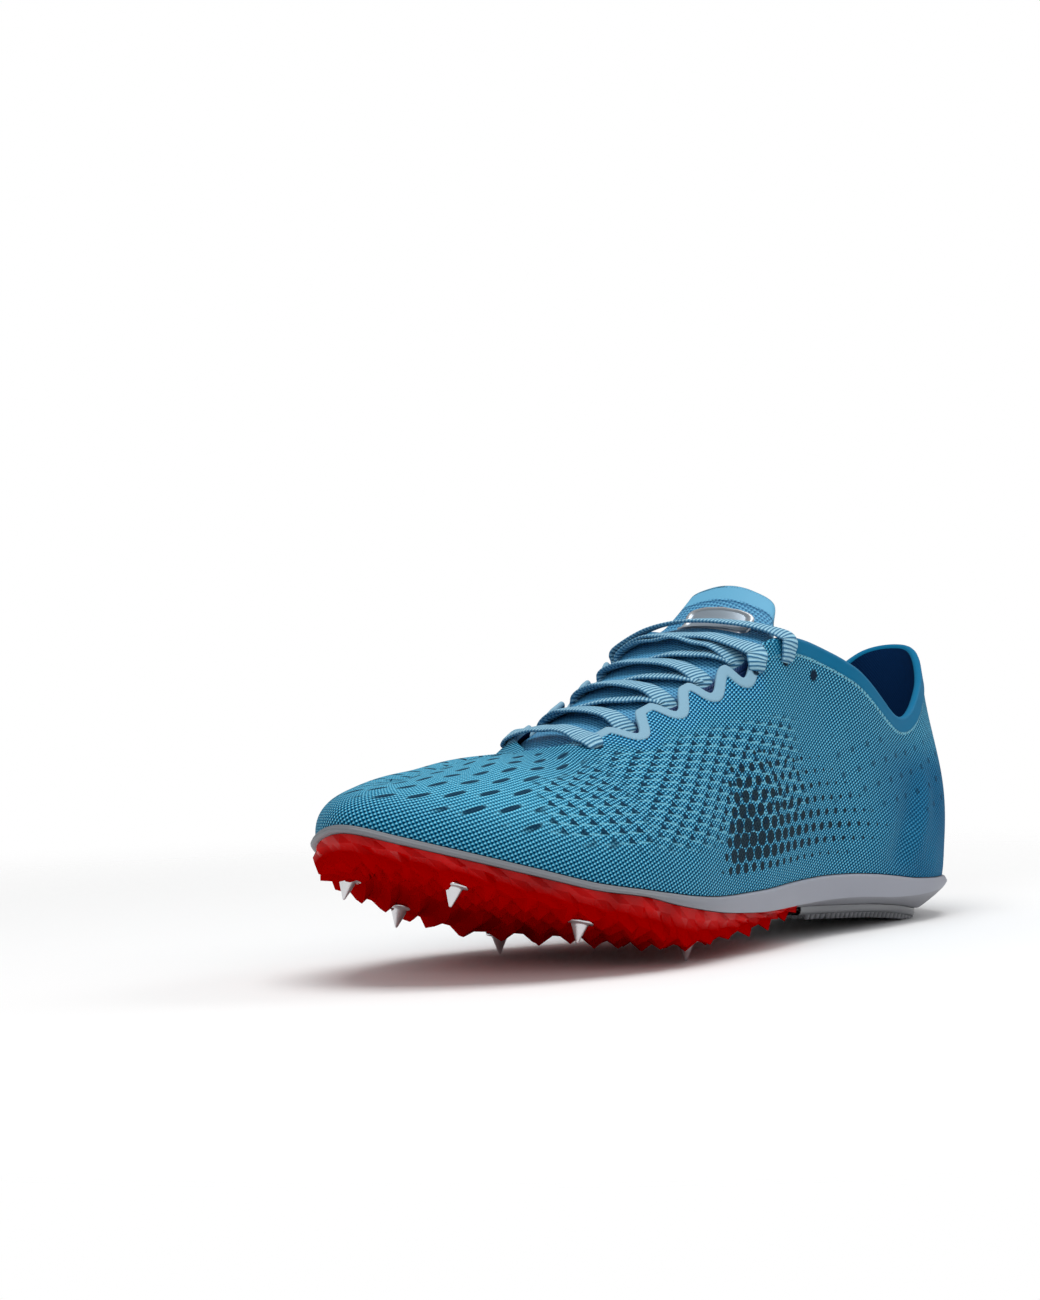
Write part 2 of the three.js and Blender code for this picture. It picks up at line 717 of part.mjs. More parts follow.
function laces() {
  const eyelets = eyeletRows.map(({ row, share }) => [row, share]);
  const notches = notchRows.map((row) => [row, 0.92]).reverse();
  const stops = [eyelets[0], ...notches, eyelets[1], eyelets[2]];
  let net = laceBar(stops[0], stops[0], 1);
  for (let k = 1; k < stops.length; k++) {
    net = net.add(laceBar(stops[k - 1], stops[k], 1)).add(laceBar(stops[k - 1], stops[k], -1));
  }
  return geometryOf(net);
}

// The finished shoe

function part(name, geometry, color, roughness = 0.8, metalness = 0) {
  const flat = geometry.index ? geometry.toNonIndexed() : geometry;
  flat.computeVertexNormals();
  const material = new THREE.MeshStandardMaterial({ color, roughness, metalness });
  const mesh = new THREE.Mesh(flat, material);
  mesh.name = name;
  return mesh;
}

const shoe = new THREE.Group();
shoe.add(part("midsole", midsole(), foamGrey, 0.7));
shoe.add(part("spike_plate", spikePlate(), plateRed, 0.15));
shoe.add(part("heel_tread", heelTread(), treadGrey, 0.6));
pinSeats().forEach((seat, k) => {
  shoe.add(part(`pin_${pinNames[k]}`, pin(seat), steelGrey, 0.2, 1));
});
shoe.add(part("upper", upper(), knitBlue, 0.85));
shoe.add(part("tongue", tongue(), tongueBlue, 0.8));
shoe.add(part("insole", insole(), insoleBlue, 0.9));
shoe.add(part("laces", laces(), laceBlue, 0.8));

// The origin goes to the middle of the shoe's footprint, on the floor.
const bounds = new THREE.Box3().setFromObject(shoe);
const centre = bounds.getCenter(new THREE.Vector3());
shoe.position.set(-centre.x, -centre.y, -bounds.min.z);
const origin = new THREE.Group();
origin.add(shoe);

export default origin;
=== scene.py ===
# A left track spike shoe with a knitted upper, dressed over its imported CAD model.
import math

import bpy
import numpy as np
from mathutils import Matrix, Vector


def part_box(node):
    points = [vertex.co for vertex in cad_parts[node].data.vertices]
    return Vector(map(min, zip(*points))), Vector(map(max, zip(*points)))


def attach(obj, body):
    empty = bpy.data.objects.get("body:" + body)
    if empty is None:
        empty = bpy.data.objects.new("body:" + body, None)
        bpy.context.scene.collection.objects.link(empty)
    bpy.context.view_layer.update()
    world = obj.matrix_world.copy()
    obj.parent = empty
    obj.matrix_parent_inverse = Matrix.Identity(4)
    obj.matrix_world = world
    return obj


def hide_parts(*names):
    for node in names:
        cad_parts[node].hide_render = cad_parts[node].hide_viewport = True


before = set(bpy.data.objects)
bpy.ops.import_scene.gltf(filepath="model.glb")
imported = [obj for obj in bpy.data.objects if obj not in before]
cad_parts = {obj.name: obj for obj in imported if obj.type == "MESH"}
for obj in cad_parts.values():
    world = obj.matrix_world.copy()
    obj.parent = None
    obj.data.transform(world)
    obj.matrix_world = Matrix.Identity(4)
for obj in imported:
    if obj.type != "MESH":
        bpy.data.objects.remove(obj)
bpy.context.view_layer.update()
scene = bpy.context.scene
mm = 0.001

# The last

# The solid model's tables, but that the midsole's band is a little thinner ahead of the arch, and the
# throat's waves sit farther back and are deeper. Heights and outlines are shares of named sizes.
last = {
    "soleLength": 286.0,
    "ballWidth": 94.0,
    "heelWidth": 66.0,
    "toeRimHeight": 48.0,
    "upperRise": 77.0,
    "upperWall": 1.8,
    "rimLedge": 1.4,
    "seatGap": 0.3,
    "notchDepth": 12.0,
    "notchWidth": 14.0,
    "tongueGap": 0.9,
    "tongueUnderlap": 16.0,
    "tongueCrown": 9.0,
}
heelStand = 3.0 / last["toeRimHeight"]  # the tread's height over the floor at the flat spot
pinStand = 7.0 / last["toeRimHeight"]  # and the plate's at the rearmost pins


def table(columns, rows):  # named columns as arrays
    return dict(zip(columns.split(), np.array(rows, float).T))


soleRows = table("x rim band base", [
    [0.0, 0.265, 0.235, 0.094],
    [0.05, 0.272, 0.222, heelStand],
    [0.09, 0.28, 0.2, heelStand],
    [0.15, 0.305, 0.19, 0.112],
    [0.2, 0.345, 0.2, 0.146],
    [0.25, 0.38, 0.225, 0.171],
    [0.3, 0.402, 0.245, 0.19],
    [0.36, 0.412, 0.253, 0.21],
    [0.42, 0.408, 0.254, 0.22],
    [0.5, 0.398, 0.26, 0.182],
    [0.56, 0.4, 0.284, 0.155],
    [0.6, 0.408, 0.308, pinStand],
    [0.665, 0.446, 0.37, pinStand],
    [0.7, 0.479, 0.415, 0.196],
    [0.74, 0.519, 0.477, 0.27],
    [0.8, 0.585, 0.54, 0.375],
    [0.86, 0.688, 0.642, 0.49],
    [0.92, 0.802, 0.756, 0.623],
    [0.97, 0.913, 0.867, 0.729],
    [1.0, 1.0, 0.954, 0.78],
])

ribColumns = "x y topX topY top bulge rise over drop"
outerRows = [
    [0.0, 0.0, 0.009, -0.01, 1.0, 4.5, 0.42, 0.55, 0.36],
    [0.03, 0.303, 0.021, 0.14, 0.965, 4.5, 0.42, 0.55, 0.36],
    [0.09, 0.447, 0.066, 0.275, 0.815, 4.0, 0.42, 0.5, 0.34],
    [0.18, 0.492, 0.147, 0.375, 0.68, 3.5, 0.42, 0.45, 0.34],
    [0.3, 0.5, 0.262, 0.43, 0.865, 3.5, 0.42, 0.4, 0.4],
    [0.43, 0.42, 0.39, 0.334, 0.985, 3.5, 0.45, 0.3, 0.25],
    [0.54, 0.441, 0.5, 0.198, 0.862, 3.5, 0.5, 0.4, 0.13],
    [0.64, 0.489, 0.6, 0.126, 0.722, 3.5, 0.55, 0.42, 0.12],
    [0.705, 0.487, 0.675, 0.072, 0.592, 3.5, 0.58, 0.45, 0.1],
    [0.765, 0.46, 0.715, -0.075, 0.53, 3.0, 0.6, 0.5, 0.03],
    [0.845, 0.372, 0.776, -0.101, 0.482, 2.5, 0.62, 0.52, 0.0],
    [0.92, 0.239, 0.832, -0.117, 0.403, 2.0, 0.65, 0.55, 0.0],
    [0.975, 0.064, 0.878, -0.133, 0.322, 1.5, 0.65, 0.58, 0.0],
    [1.0, -0.128, 0.902, -0.144, 0.278, 1.5, 0.65, 0.6, 0.0],
]
innerRows = [
    outerRows[0],
    [0.022, -0.258, 0.024, -0.19, 0.97, 4.5, 0.42, 0.55, 0.36],
    [0.075, -0.409, 0.07, -0.3, 0.86, 4.0, 0.42, 0.5, 0.34],
    [0.165, -0.462, 0.16, -0.385, 0.77, 3.0, 0.42, 0.45, 0.34],
    [0.28, -0.424, 0.262, -0.39, 0.89, 3.0, 0.42, 0.4, 0.4],
    [0.4, -0.342, 0.395, -0.34, 1.005, 3.0, 0.45, 0.3, 0.25],
    [0.5, -0.351, 0.5, -0.255, 0.873, 2.5, 0.48, 0.4, 0.15],
    [0.59, -0.436, 0.6, -0.223, 0.724, 2.5, 0.52, 0.42, 0.14],
    [0.655, -0.489, 0.675, -0.202, 0.597, 2.5, 0.55, 0.45, 0.1],
    [0.72, -0.514, 0.715, -0.075, 0.53, 2.5, 0.6, 0.5, 0.03],
    [0.795, -0.505, 0.776, -0.101, 0.482, 2.5, 0.62, 0.52, 0.0],
    [0.88, -0.463, 0.832, -0.117, 0.403, 2.0, 0.65, 0.55, 0.0],
    [0.955, -0.351, 0.878, -0.133, 0.322, 1.5, 0.65, 0.58, 0.0],
    outerRows[13],
]
throatRow = 9
toeRow = 13
openEnd = 9.01  # rows up to here have an open top edge
slopeStep = 0.02  # the step in rows and shares that slopes are taken over
tiny = 1e-9
notchRows = np.array([5.6, 6.05, 6.57, 7.25])
eyelets = {  # rows and shares of the way up
    "bottom": (7.97, 0.89),
    "sixth": (5.44, 0.87),
    "top": (4.98, 0.89),
    "spare": (4.55, 0.87),
}


def paddedColumns(own, other):  # two rows of the other side at each end, so curves run on
    rows = [other[2], other[1], *own, other[toeRow - 1], other[toeRow - 2]]
    return table(ribColumns, rows)


ribTables = {
    1: paddedColumns(outerRows, innerRows),
    -1: paddedColumns(innerRows, outerRows),
}


def smoothstep(low, high, x):
    t = np.clip((x - low) / (high - low), 0, 1)
    return t * t * (3 - 2 * t)


def unit(vectors):
    return vectors / np.maximum(np.linalg.norm(vectors, axis=-1, keepdims=True), tiny)


def flatPoints(plan, height):  # points from places in plan and heights
    return np.concatenate([plan, np.broadcast_to(height, plan.shape[:-1])[..., None]], -1)


# Height of the sole: a smooth curve through a column that never overshoots.
def soleHeight(x, column):
    xs = soleRows["x"]
    ys = soleRows[column]
    steps = np.diff(ys) / np.diff(xs)
    inner = steps[:-1] * steps[1:]
    safe = np.where(np.abs(steps[:-1] + steps[1:]) < tiny, 1, steps[:-1] + steps[1:])
    slopes = np.concatenate([steps[:1], np.where(inner > 0, 2 * inner / safe, 0), steps[-1:]])
    at = np.clip(x, 0, 1)
    k = np.clip(np.searchsorted(xs, at) - 1, 0, len(xs) - 2)
    width = xs[k + 1] - xs[k]
    t = (at - xs[k]) / width
    height = (1 + 2 * t) * (1 - t) ** 2 * ys[k] + t * (1 - t) ** 2 * width * slopes[k]
    height += t * t * (3 - 2 * t) * ys[k + 1] + t * t * (t - 1) * width * slopes[k + 1]
    return height * last["toeRimHeight"]


def widthAt(x):
    return last["heelWidth"] + (last["ballWidth"] - last["heelWidth"]) * smoothstep(0.3, 0.5, x)


# A rib table's column at row numbers: a cubic through the four nearest rows.
def ribValue(side, row, column):
    values = ribTables[side][column]
    row = np.asarray(row, float)
    k = np.clip(np.floor(row).astype(int), 0, toeRow - 1)
    t = row - k
    a, b, c, d = (values[k + j] for j in (1, 2, 3, 4))
    return b + 0.5 * t * (c - a + t * (2 * a - 5 * b + 4 * c - d + t * (3 * (b - c) + d - a)))


def rimPoint(side, row):
    x = ribValue(side, row, "x")
    return np.stack([x * last["soleLength"], ribValue(side, row, "y") * widthAt(x)], -1)


# The outline moved inwards by an inset, square to itself.
def insetPoint(side, row, inset):
    row = np.asarray(row, float)
    lowRow = np.maximum(row - slopeStep, 0)
    highRow = np.minimum(row + slopeStep, toeRow)
    behind = rimPoint(-side, np.full(row.shape, slopeStep))
    before = np.where((row < slopeStep)[..., None], behind, rimPoint(side, lowRow))
    beyond = rimPoint(-side, np.full(row.shape, toeRow - slopeStep))
    after = np.where((row > toeRow - slopeStep)[..., None], beyond, rimPoint(side, highRow))
    along = after - before
    along /= np.linalg.norm(along, axis=-1, keepdims=True)
    inward = np.stack([along[..., 1], -along[..., 0]], -1) * side
    return rimPoint(side, row) + inward * np.asarray(inset)[..., None]


def middlePoint(row):
    margin = 0.055 * last["soleLength"]
    both = (rimPoint(1, row) + rimPoint(-1, row)) / 2
    both[..., 0] = np.clip(both[..., 0], margin, last["soleLength"] - margin)
    return both


def ribTop(side, row):
    own = {c: ribValue(side, row, c) for c in ("topX", "topY", "top")}
    other = {c: ribValue(-side, row, c) for c in ("topX", "topY", "top")}
    ahead = np.asarray(row) > throatRow
    x, y, top = (np.where(ahead, (own[c] + other[c]) / 2, own[c]) for c in ("topX", "topY", "top"))
    z = soleHeight(x, "rim") + top * last["upperRise"]
    return np.stack([x * last["soleLength"], y * widthAt(x), z], -1)


# A rib's four Bezier points: the foot on the rim, a handle out and up, a handle over, and the top.
def ribHandles(side, row):
    plan = insetPoint(side, row, last["rimLedge"])
    footZ = soleHeight(plan[..., 0] / last["soleLength"], "rim") + last["seatGap"]
    foot = flatPoints(plan, footZ)
    top = ribTop(side, row)
    height = top[..., 2] - foot[..., 2]
    out = insetPoint(side, row, 0.0) - insetPoint(side, row, 1.0)
    low = foot.copy()
    low[..., :2] += out * ribValue(side, row, "bulge")[..., None]
    low[..., 2] += ribValue(side, row, "rise") * height
    high = top.copy()
    high[..., :2] += (foot - top)[..., :2] * ribValue(side, row, "over")[..., None]
    high[..., 2] -= ribValue(side, row, "drop") * height
    return foot, low, high, top


# A point of the wall's outside: the rib's Bezier curve at a share of its way up.
def wallPoint(side, row, share):
    row, share = np.broadcast_arrays(np.asarray(row, float), np.asarray(share, float))
    a, b, c, d = ribHandles(side, row)
    t = share[..., None]
    return a * (1 - t) ** 3 + 3 * b * t * (1 - t) ** 2 + 3 * c * t * t * (1 - t) + d * t**3


# The wall's outward normal: the slope up the rib crossed with the slope along the shoe.
def wallNormal(side, row, share):
    row, share = np.broadcast_arrays(np.asarray(row, float), np.asarray(share, float))
    up = wallPoint(side, row, np.minimum(share + slopeStep, 1))
    up = up - wallPoint(side, row, np.maximum(share - slopeStep, 0))
    along = wallPoint(side, np.minimum(row + slopeStep, toeRow), share)
    along = along - wallPoint(side, np.maximum(row - slopeStep, 0), share)
    return unit(np.cross(up, along) * side)


def ribLength(side, row):
    shares = np.linspace(0, 1, 25)
    points = wallPoint(side, np.asarray(row, float)[..., None], shares)
    return np.linalg.norm(np.diff(points, axis=-2), axis=-1).sum(-1)


# How far up a rib the wall reaches: to its top, but for the waves along the throat.
def wallTop(side, row):
    here = ribTop(side, row)
    marks = ribTop(side, notchRows)
    near = np.linalg.norm(here[..., None, :] - marks, axis=-1).min(-1)
    wave = 0.5 + 0.5 * np.cos(math.pi * np.minimum(near / (last["notchWidth"] / 2), 1))
    return 1 - last["notchDepth"] * wave**0.8 / ribLength(side, row)


# Rows an even step apart along the outline.
def evenRows(start, end, count):
    fine = np.linspace(start, end, 1200)
    steps = sum(np.linalg.norm(np.diff(rimPoint(side, fine), axis=0), axis=1) for side in (1, -1))
    length = np.concatenate([[0], np.cumsum(steps)])
    return np.interp(np.linspace(0, length[-1], count), length, fine)


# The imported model's frame is the last's frame moved in plan.
outlineRows = np.linspace(0, toeRow, 3000)
outline = np.concatenate([rimPoint(1, outlineRows), rimPoint(-1, outlineRows)])
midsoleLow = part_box("midsole")[0]
shift = np.array([midsoleLow.x / mm - outline[:, 0].min(), midsoleLow.y / mm - outline[:, 1].min(), 0.0])


def toFrame(points):  # the last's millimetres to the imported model's metres
    return (np.asarray(points, float) + shift) * mm


print("last ready, shift", np.round(shift, 3))

# Camera at the photo's angle to the shoe

cameraView = {
    "turn": 54.0,  # degrees from the shoe's outer side towards its toe
    "rise": 4.0,
    "roll": -1.1,
    "distance": 1200.0,
    "target": (143.0, 0.0, 40.0),
    "lens": 105.0,
    "sensor": 36.0,
    "aimRight": -0.0375,  # how far the aim lies off the target, as slopes
    "aimUp": 0.0446,
}


def addCamera():
    turn, rise, roll = (math.radians(cameraView[key]) for key in ("turn", "rise", "roll"))
    back = Vector((math.sin(turn) * math.cos(rise), math.cos(turn) * math.cos(rise), math.sin(rise)))
    right = Vector((-math.cos(turn), math.sin(turn), 0))
    up = back.cross(right)
    right, up = right * math.cos(roll) + up * math.sin(roll), up * math.cos(roll) - right * math.sin(roll)
    place = Vector(cameraView["target"]) + back * cameraView["distance"]
    forward = (-back + right * cameraView["aimRight"] + up * cameraView["aimUp"]).normalized()
    right = (right - forward * right.dot(forward)).normalized()
    up = right.cross(forward)
    camera = bpy.data.objects.new("camera", bpy.data.cameras.new("camera"))
    scene.collection.objects.link(camera)
    turned = Matrix((right, up, -forward)).transposed().to_4x4()
    camera.matrix_world = Matrix.Translation(Vector(toFrame(place))) @ turned
    camera.data.lens = cameraView["lens"]
    camera.data.sensor_width = cameraView["sensor"]
    camera.data.clip_end = 100
    scene.camera = camera


addCamera()

# Shader maths as expressions


class Wire:
    def __init__(self, shader, socket):
        self.shader = shader
        self.socket = socket

    def math(self, operation, *others):
        return self.shader.node("ShaderNodeMath", {"operation": operation}, [self, *others])

    def __add__(self, other):
        return self.math("ADD", other)

    def __sub__(self, other):
        return self.math("SUBTRACT", other)

    def __mul__(self, other):
        return self.math("MULTIPLY", other)

    def __truediv__(self, other):
        return self.math("DIVIDE", other)

    def __rsub__(self, other):
        return self.shader.node("ShaderNodeMath", {"operation": "SUBTRACT"}, [other, self])

    __radd__ = __add__
    __rmul__ = __mul__

    def step(self, low, high):  # 0 below low, 1 above high, smooth between
        settings = {"interpolation_type": "SMOOTHSTEP"}
        return self.shader.node("ShaderNodeMapRange", settings, [self, low, high, 0.0, 1.0])

    def within(self, low, high, soft):  # 1 between two values
        return self.step(low - soft, low + soft) * (1 - self.step(high - soft, high + soft))


class Shader:
    def __init__(self, name):
        self.material = bpy.data.materials.new(name)
        self.material.use_nodes = True
        self.tree = self.material.node_tree
        self.surface = self.tree.nodes["Principled BSDF"]
        self.output = self.tree.nodes["Material Output"]

    # Any node: its settings, then its inputs by place or name; gives its first output or a named one.
    def node(self, kind, settings=None, inputs=(), out=0):
        made = self.tree.nodes.new(kind)
        for key, value in (settings or {}).items():
            setattr(made, key, value)
        pairs = inputs.items() if isinstance(inputs, dict) else enumerate(inputs)
        for key, value in pairs:
            self.feed(made.inputs[key], value)
        return Wire(self, made.outputs[out])

    def feed(self, socket, value):
        if isinstance(value, Wire):
            self.tree.links.new(value.socket, socket)
        elif value is not None:
            socket.default_value = value

    def ramp(self, factor, stops):
        made = self.tree.nodes.new("ShaderNodeValToRGB")
        marks = made.color_ramp.elements
        while len(marks) < len(stops):
            marks.new(0.5)
        for mark, (place, colour) in zip(marks, stops):
            mark.position = place
            mark.color = (*colour, 1)
        self.feed(made.inputs[0], factor)
        return Wire(self, made.outputs[0])

    def mix(self, factor, a, b):
        made = self.tree.nodes.new("ShaderNodeMix")
        made.data_type = "RGBA"
        rgba = [(*c, 1) if isinstance(c, tuple) and len(c) == 3 else c for c in (a, b)]
        for socket, value in zip((made.inputs[0], made.inputs[6], made.inputs[7]), (factor, *rgba)):
            self.feed(socket, value)
        return Wire(self, made.outputs[2])

    # A shade with layers over it: each layer's cover and the key of its colour in a look.
    def layers(self, shade, look, *layers):
        for cover, key in layers:
            shade = self.mix(cover, shade, look[key])
        return shade

    def uv(self, name):
        mapped = self.node("ShaderNodeUVMap", {"uv_map": name})
        parts = self.node("ShaderNodeSeparateXYZ", inputs=[mapped])
        return mapped, parts, Wire(self, parts.socket.node.outputs[1])

    def place(self):
        where = self.node("ShaderNodeTexCoord", out="Object")
        parts = self.node("ShaderNodeSeparateXYZ", inputs=[where]).socket.node
        return where, *(Wire(self, parts.outputs[k]) for k in range(3))

    def attribute(self, name):
        return self.node("ShaderNodeAttribute", {"attribute_name": name}, out="Fac")

    def noise(self, where, scale, detail=2.0, out=0):
        inputs = {"Vector": where, "Scale": scale, "Detail": detail}
        return self.node("ShaderNodeTexNoise", None, inputs, out)

    def bump(self, height, strength, distance, normal=None):
        inputs = {"Height": height, "Strength": strength, "Distance": distance, "Normal": normal}
        return self.node("ShaderNodeBump", None, inputs)

    def set(self, **values):
        names = {name.replace(" ", "").lower(): name for name in self.surface.inputs.keys()}
        for key, value in values.items():
            if isinstance(value, tuple) and len(value) == 3 and "color" in key.lower():
                value = (*value, 1)
            self.feed(self.surface.inputs[names[key.lower()]], value)
        return self.material


def dress(name, material):  # gives a kept CAD node a better material
    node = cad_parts[name]
    node.data.materials.clear()
    node.data.materials.append(material)


# Mesh from points and triangles, with a UV per corner in millimetres and float attributes.
def meshFrom(name, points, faces, uv=None, attributes=None, smooth=True):
    mesh = bpy.data.meshes.new(name)
    mesh.from_pydata(toFrame(points).tolist(), [], np.asarray(faces).tolist())
    if uv is not None:
        layer = mesh.uv_layers.new(name="knit")
        layer.uv.foreach_set("vector", uv.reshape(-1, 2).astype(np.float32).ravel())
    for key, values in (attributes or {}).items():
        made = mesh.attributes.new(key, "FLOAT", "POINT")
        made.data.foreach_set("value", values.astype(np.float32).ravel())
    if smooth:
        mesh.shade_smooth()
    else:
        mesh.shade_flat()
    piece = bpy.data.objects.new(name, mesh)
    scene.collection.objects.link(piece)
    return piece


def finish(piece, material, node):
    piece.data.materials.append(material)
    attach(piece, "root")
    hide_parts(node)


# Grids of points as meshes


def gridNormals(points):  # the cross product of the slopes along both directions of a grid
    return unit(np.cross(np.gradient(points, axis=0), np.gradient(points, axis=1)))


# A smooth curve through points, by cubics through four neighbours each.
def smoothPath(points, count):
    points = np.asarray(points, float)
    padded = np.concatenate([[2 * points[0] - points[1]], points, [2 * points[-1] - points[-2]]])
    at = np.linspace(0, len(points) - 1, count)
    k = np.minimum(at.astype(int), len(points) - 2)
    t = (at - k).reshape(-1, *[1] * (points.ndim - 1))
    a, b, c, d = (padded[k + j] for j in range(4))
    return b + 0.5 * t * (c - a + t * (2 * a - 5 * b + 4 * c - d + t * (3 * (b - c) + d - a)))


# One mesh from several grids, each with its points, its UVs in millimetres and its attributes.
# Points that coincide are joined, so seams and poles shade smoothly.
def joinGrids(name, grids, smooth=True):
    points = np.concatenate([grid["points"].reshape(-1, 3) for grid in grids])
    blank = [np.zeros((*grid["points"].shape[:2], 2)) for grid in grids]
    uv = np.concatenate([grid.get("uv", none).reshape(-1, 2) for grid, none in zip(grids, blank)])
    keys = grids[0].get("attributes", {})
    start = 0
    quads = []
    for grid in grids:
        columns, rows = grid["points"].shape[:2]
        index = start + np.arange(columns * rows).reshape(columns, rows)
        if grid.get("wrap"):
            index = np.concatenate([index, index[:, :1]], 1)
        corners = [index[:-1, :-1], index[1:, :-1], index[1:, 1:], index[:-1, 1:]]
        if grid.get("flip"):
            corners.reverse()
        quads.append(np.stack(corners, -1).reshape(-1, 4))
        start += columns * rows
    quads = np.concatenate(quads)
    corners = np.concatenate([quads[:, [0, 1, 2]], quads[:, [0, 2, 3]]])
    found = np.unique(np.round(points, 3), axis=0, return_index=True, return_inverse=True)
    kept, weld = found[1], found[2].reshape(-1)
    faces = weld[corners]
    whole = (faces[:, 0] != faces[:, 1]) & (faces[:, 1] != faces[:, 2]) & (faces[:, 2] != faces[:, 0])
    attributes = {
        key: np.concatenate([grid["attributes"][key].ravel() for grid in grids])[kept] for key in keys
    }
    return meshFrom(name, points[kept], faces[whole], uv[corners[whole]], attributes, smooth)


# The knitted upper: a skin over the last, with raised edging round the waves and a padded collar.

upperLook = {
    "lift": 0.15,
    "edging": 3.0,
    "edgingRise": 0.55,
    "collarBand": 4.6,
    "collarThickness": 2.6,
    "shares": 62,
}


def lengthsAlong(points, axis):
    steps = np.linalg.norm(np.diff(points, axis=axis), axis=-1)
    zero = np.zeros_like(np.take(steps, [0], axis=axis))
    return np.cumsum(np.concatenate([zero, steps], axis), axis)


def rimLengths(side, rows, count):  # millimetres along the rim, for a grid of so many lines
    return np.repeat(lengthsAlong(rimPoint(side, rows), 0)[:, None], count, 1)


# A soft ridge or trough: a bell across a line, that fades past the line's ends.
def bell(u, v, at, direction, width, length):
    turn = math.radians(direction)
    along = (u - at[0]) * math.cos(turn) + (v - at[1]) * math.sin(turn)
    across = (v - at[1]) * math.cos(turn) - (u - at[0]) * math.sin(turn)
    return np.exp(-((across / width) ** 2)) * np.exp(-((along / length) ** 4))


# Creases and hollows of the worn-in knit: millimetres outwards, then a bell's own values.
creases = [
    (-1.7, (262, 17), 62, 5.5, 17),
    (1.0, (274, 20), 62, 5, 15),
    (0.5, (248, 14), 60, 6, 14),
    (-0.7, (284, 32), 80, 5, 14),
    (-0.55, (222, 36), 35, 6, 22),
    (0.45, (208, 30), 40, 7, 20),
    (-0.5, (101, 30), 75, 5, 20),
    (0.4, (92, 28), 78, 5, 18),
    (-0.4, (120, 20), 65, 5, 16),
]


# The creases and a slight unevenness of two sines, over millimetres along the rim and up the wall.
def reliefOf(u, v):
    relief = sum(amount * bell(u, v, *form) for amount, *form in creases)
    return relief + 0.25 * np.sin(u / 9.0) * np.sin(v / 7.5 + u / 30) * smoothstep(0, 12, v)


def soft(value, low, high, edge):  # 1 between low and high, fading over edge
    return smoothstep(low - edge, low + edge, value) * (1 - smoothstep(high - edge, high + edge, value))


# Where each knitted pattern lies, over millimetres along the rim and up the wall.
def patternsOf(u, v, edge):
    clear = smoothstep(7, 9, edge)
    slits = soft(u, -6, 88 + 0.25 * v, 4) * smoothstep(9, 12, v) * smoothstep(5, 7, edge)
    fore = soft(u, 64 + 0.15 * v, 104, 3) * soft(v, 12, 34 + 0.5 * (u - 70), 2.5)
    middle = soft(u, 106, 206 - 0.3 * v, 5) * soft(v, 13 + 0.1 * (u - 110), 53, 3) * clear
    heel = soft(u, 215, 300, 6) * soft(v, 22, 46, 4) * clear
    dots = soft(u, 138 + 0.35 * v, 262 - 0.6 * v, 9) * soft(v, 6, 44, 5)
    return {"slits": slits * (1 - fore), "fore": fore, "middle": middle, "heel": heel, "dots": dots}


# The skin's points: wall points moved out along the normal by the relief and the edging.
def upperSkin(side, rows, edgeLine):
    t = np.linspace(0, 1, upperLook["shares"])
    shares = 1 - (1 - t) ** 1.3
    row, share = np.meshgrid(rows, shares, indexing="ij")
    share = share * wallTop(side, rows)[:, None]
    points = wallPoint(side, row, share)
    normals = wallNormal(side, row, share)
    v = lengthsAlong(points, 1)
    u = rimLengths(side, rows, len(shares))
    u = u[-1:] - u
    flat = points.reshape(-1, 3)
    near = [np.linalg.norm(part[:, None] - edgeLine, axis=-1).min(1) for part in np.array_split(flat, 12)]
    edge = np.concatenate(near).reshape(row.shape)
    throat = smoothstep(5.27, 5.37, row) * (1 - smoothstep(8.0, 8.3, row))
    collar = 1 - smoothstep(4.9, 5.25, row)
    relief = reliefOf(u, v) * smoothstep(2, 9, edge) * smoothstep(0, 6, v) + upperLook["lift"]
    band = 1 - smoothstep(upperLook["edging"] - 0.3, upperLook["edging"] + 0.3, edge)
    relief += upperLook["edgingRise"] * band * throat
    pad = 1 - smoothstep(upperLook["collarBand"] - 0.6, upperLook["collarBand"] + 0.4, edge)
    relief += 0.45 * pad * collar
    patterns = patternsOf(u, v, edge)
    tone = {
        "edge": edge,
        "throat": throat,
        "collar": collar,
        # toe lighter up the toe's top is painted light, back darker low on the heel is painted shade
        "toe": smoothstep(8.2, 10.5, row) * smoothstep(2, 22, v),
        "back": (1 - smoothstep(2.4, 4.2, row)) * (1 - smoothstep(34, 52, v)),
        **patterns,
    }
    return {
        "points": points + normals * relief[..., None],
        "normals": normals,
        "uv": np.stack([u * side, v], -1),
        "attributes": tone,
        "flip": side < 0,
    }


upperRowList = np.concatenate([
    evenRows(0, 5.2, 84)[:-1],
    evenRows(5.2, 8.2, 200)[:-1],
    evenRows(8.2, toeRow, 96),
])


def upperEdge(side):
    rows = upperRowList[upperRowList <= openEnd]
    return wallPoint(side, rows, wallTop(side, rows))


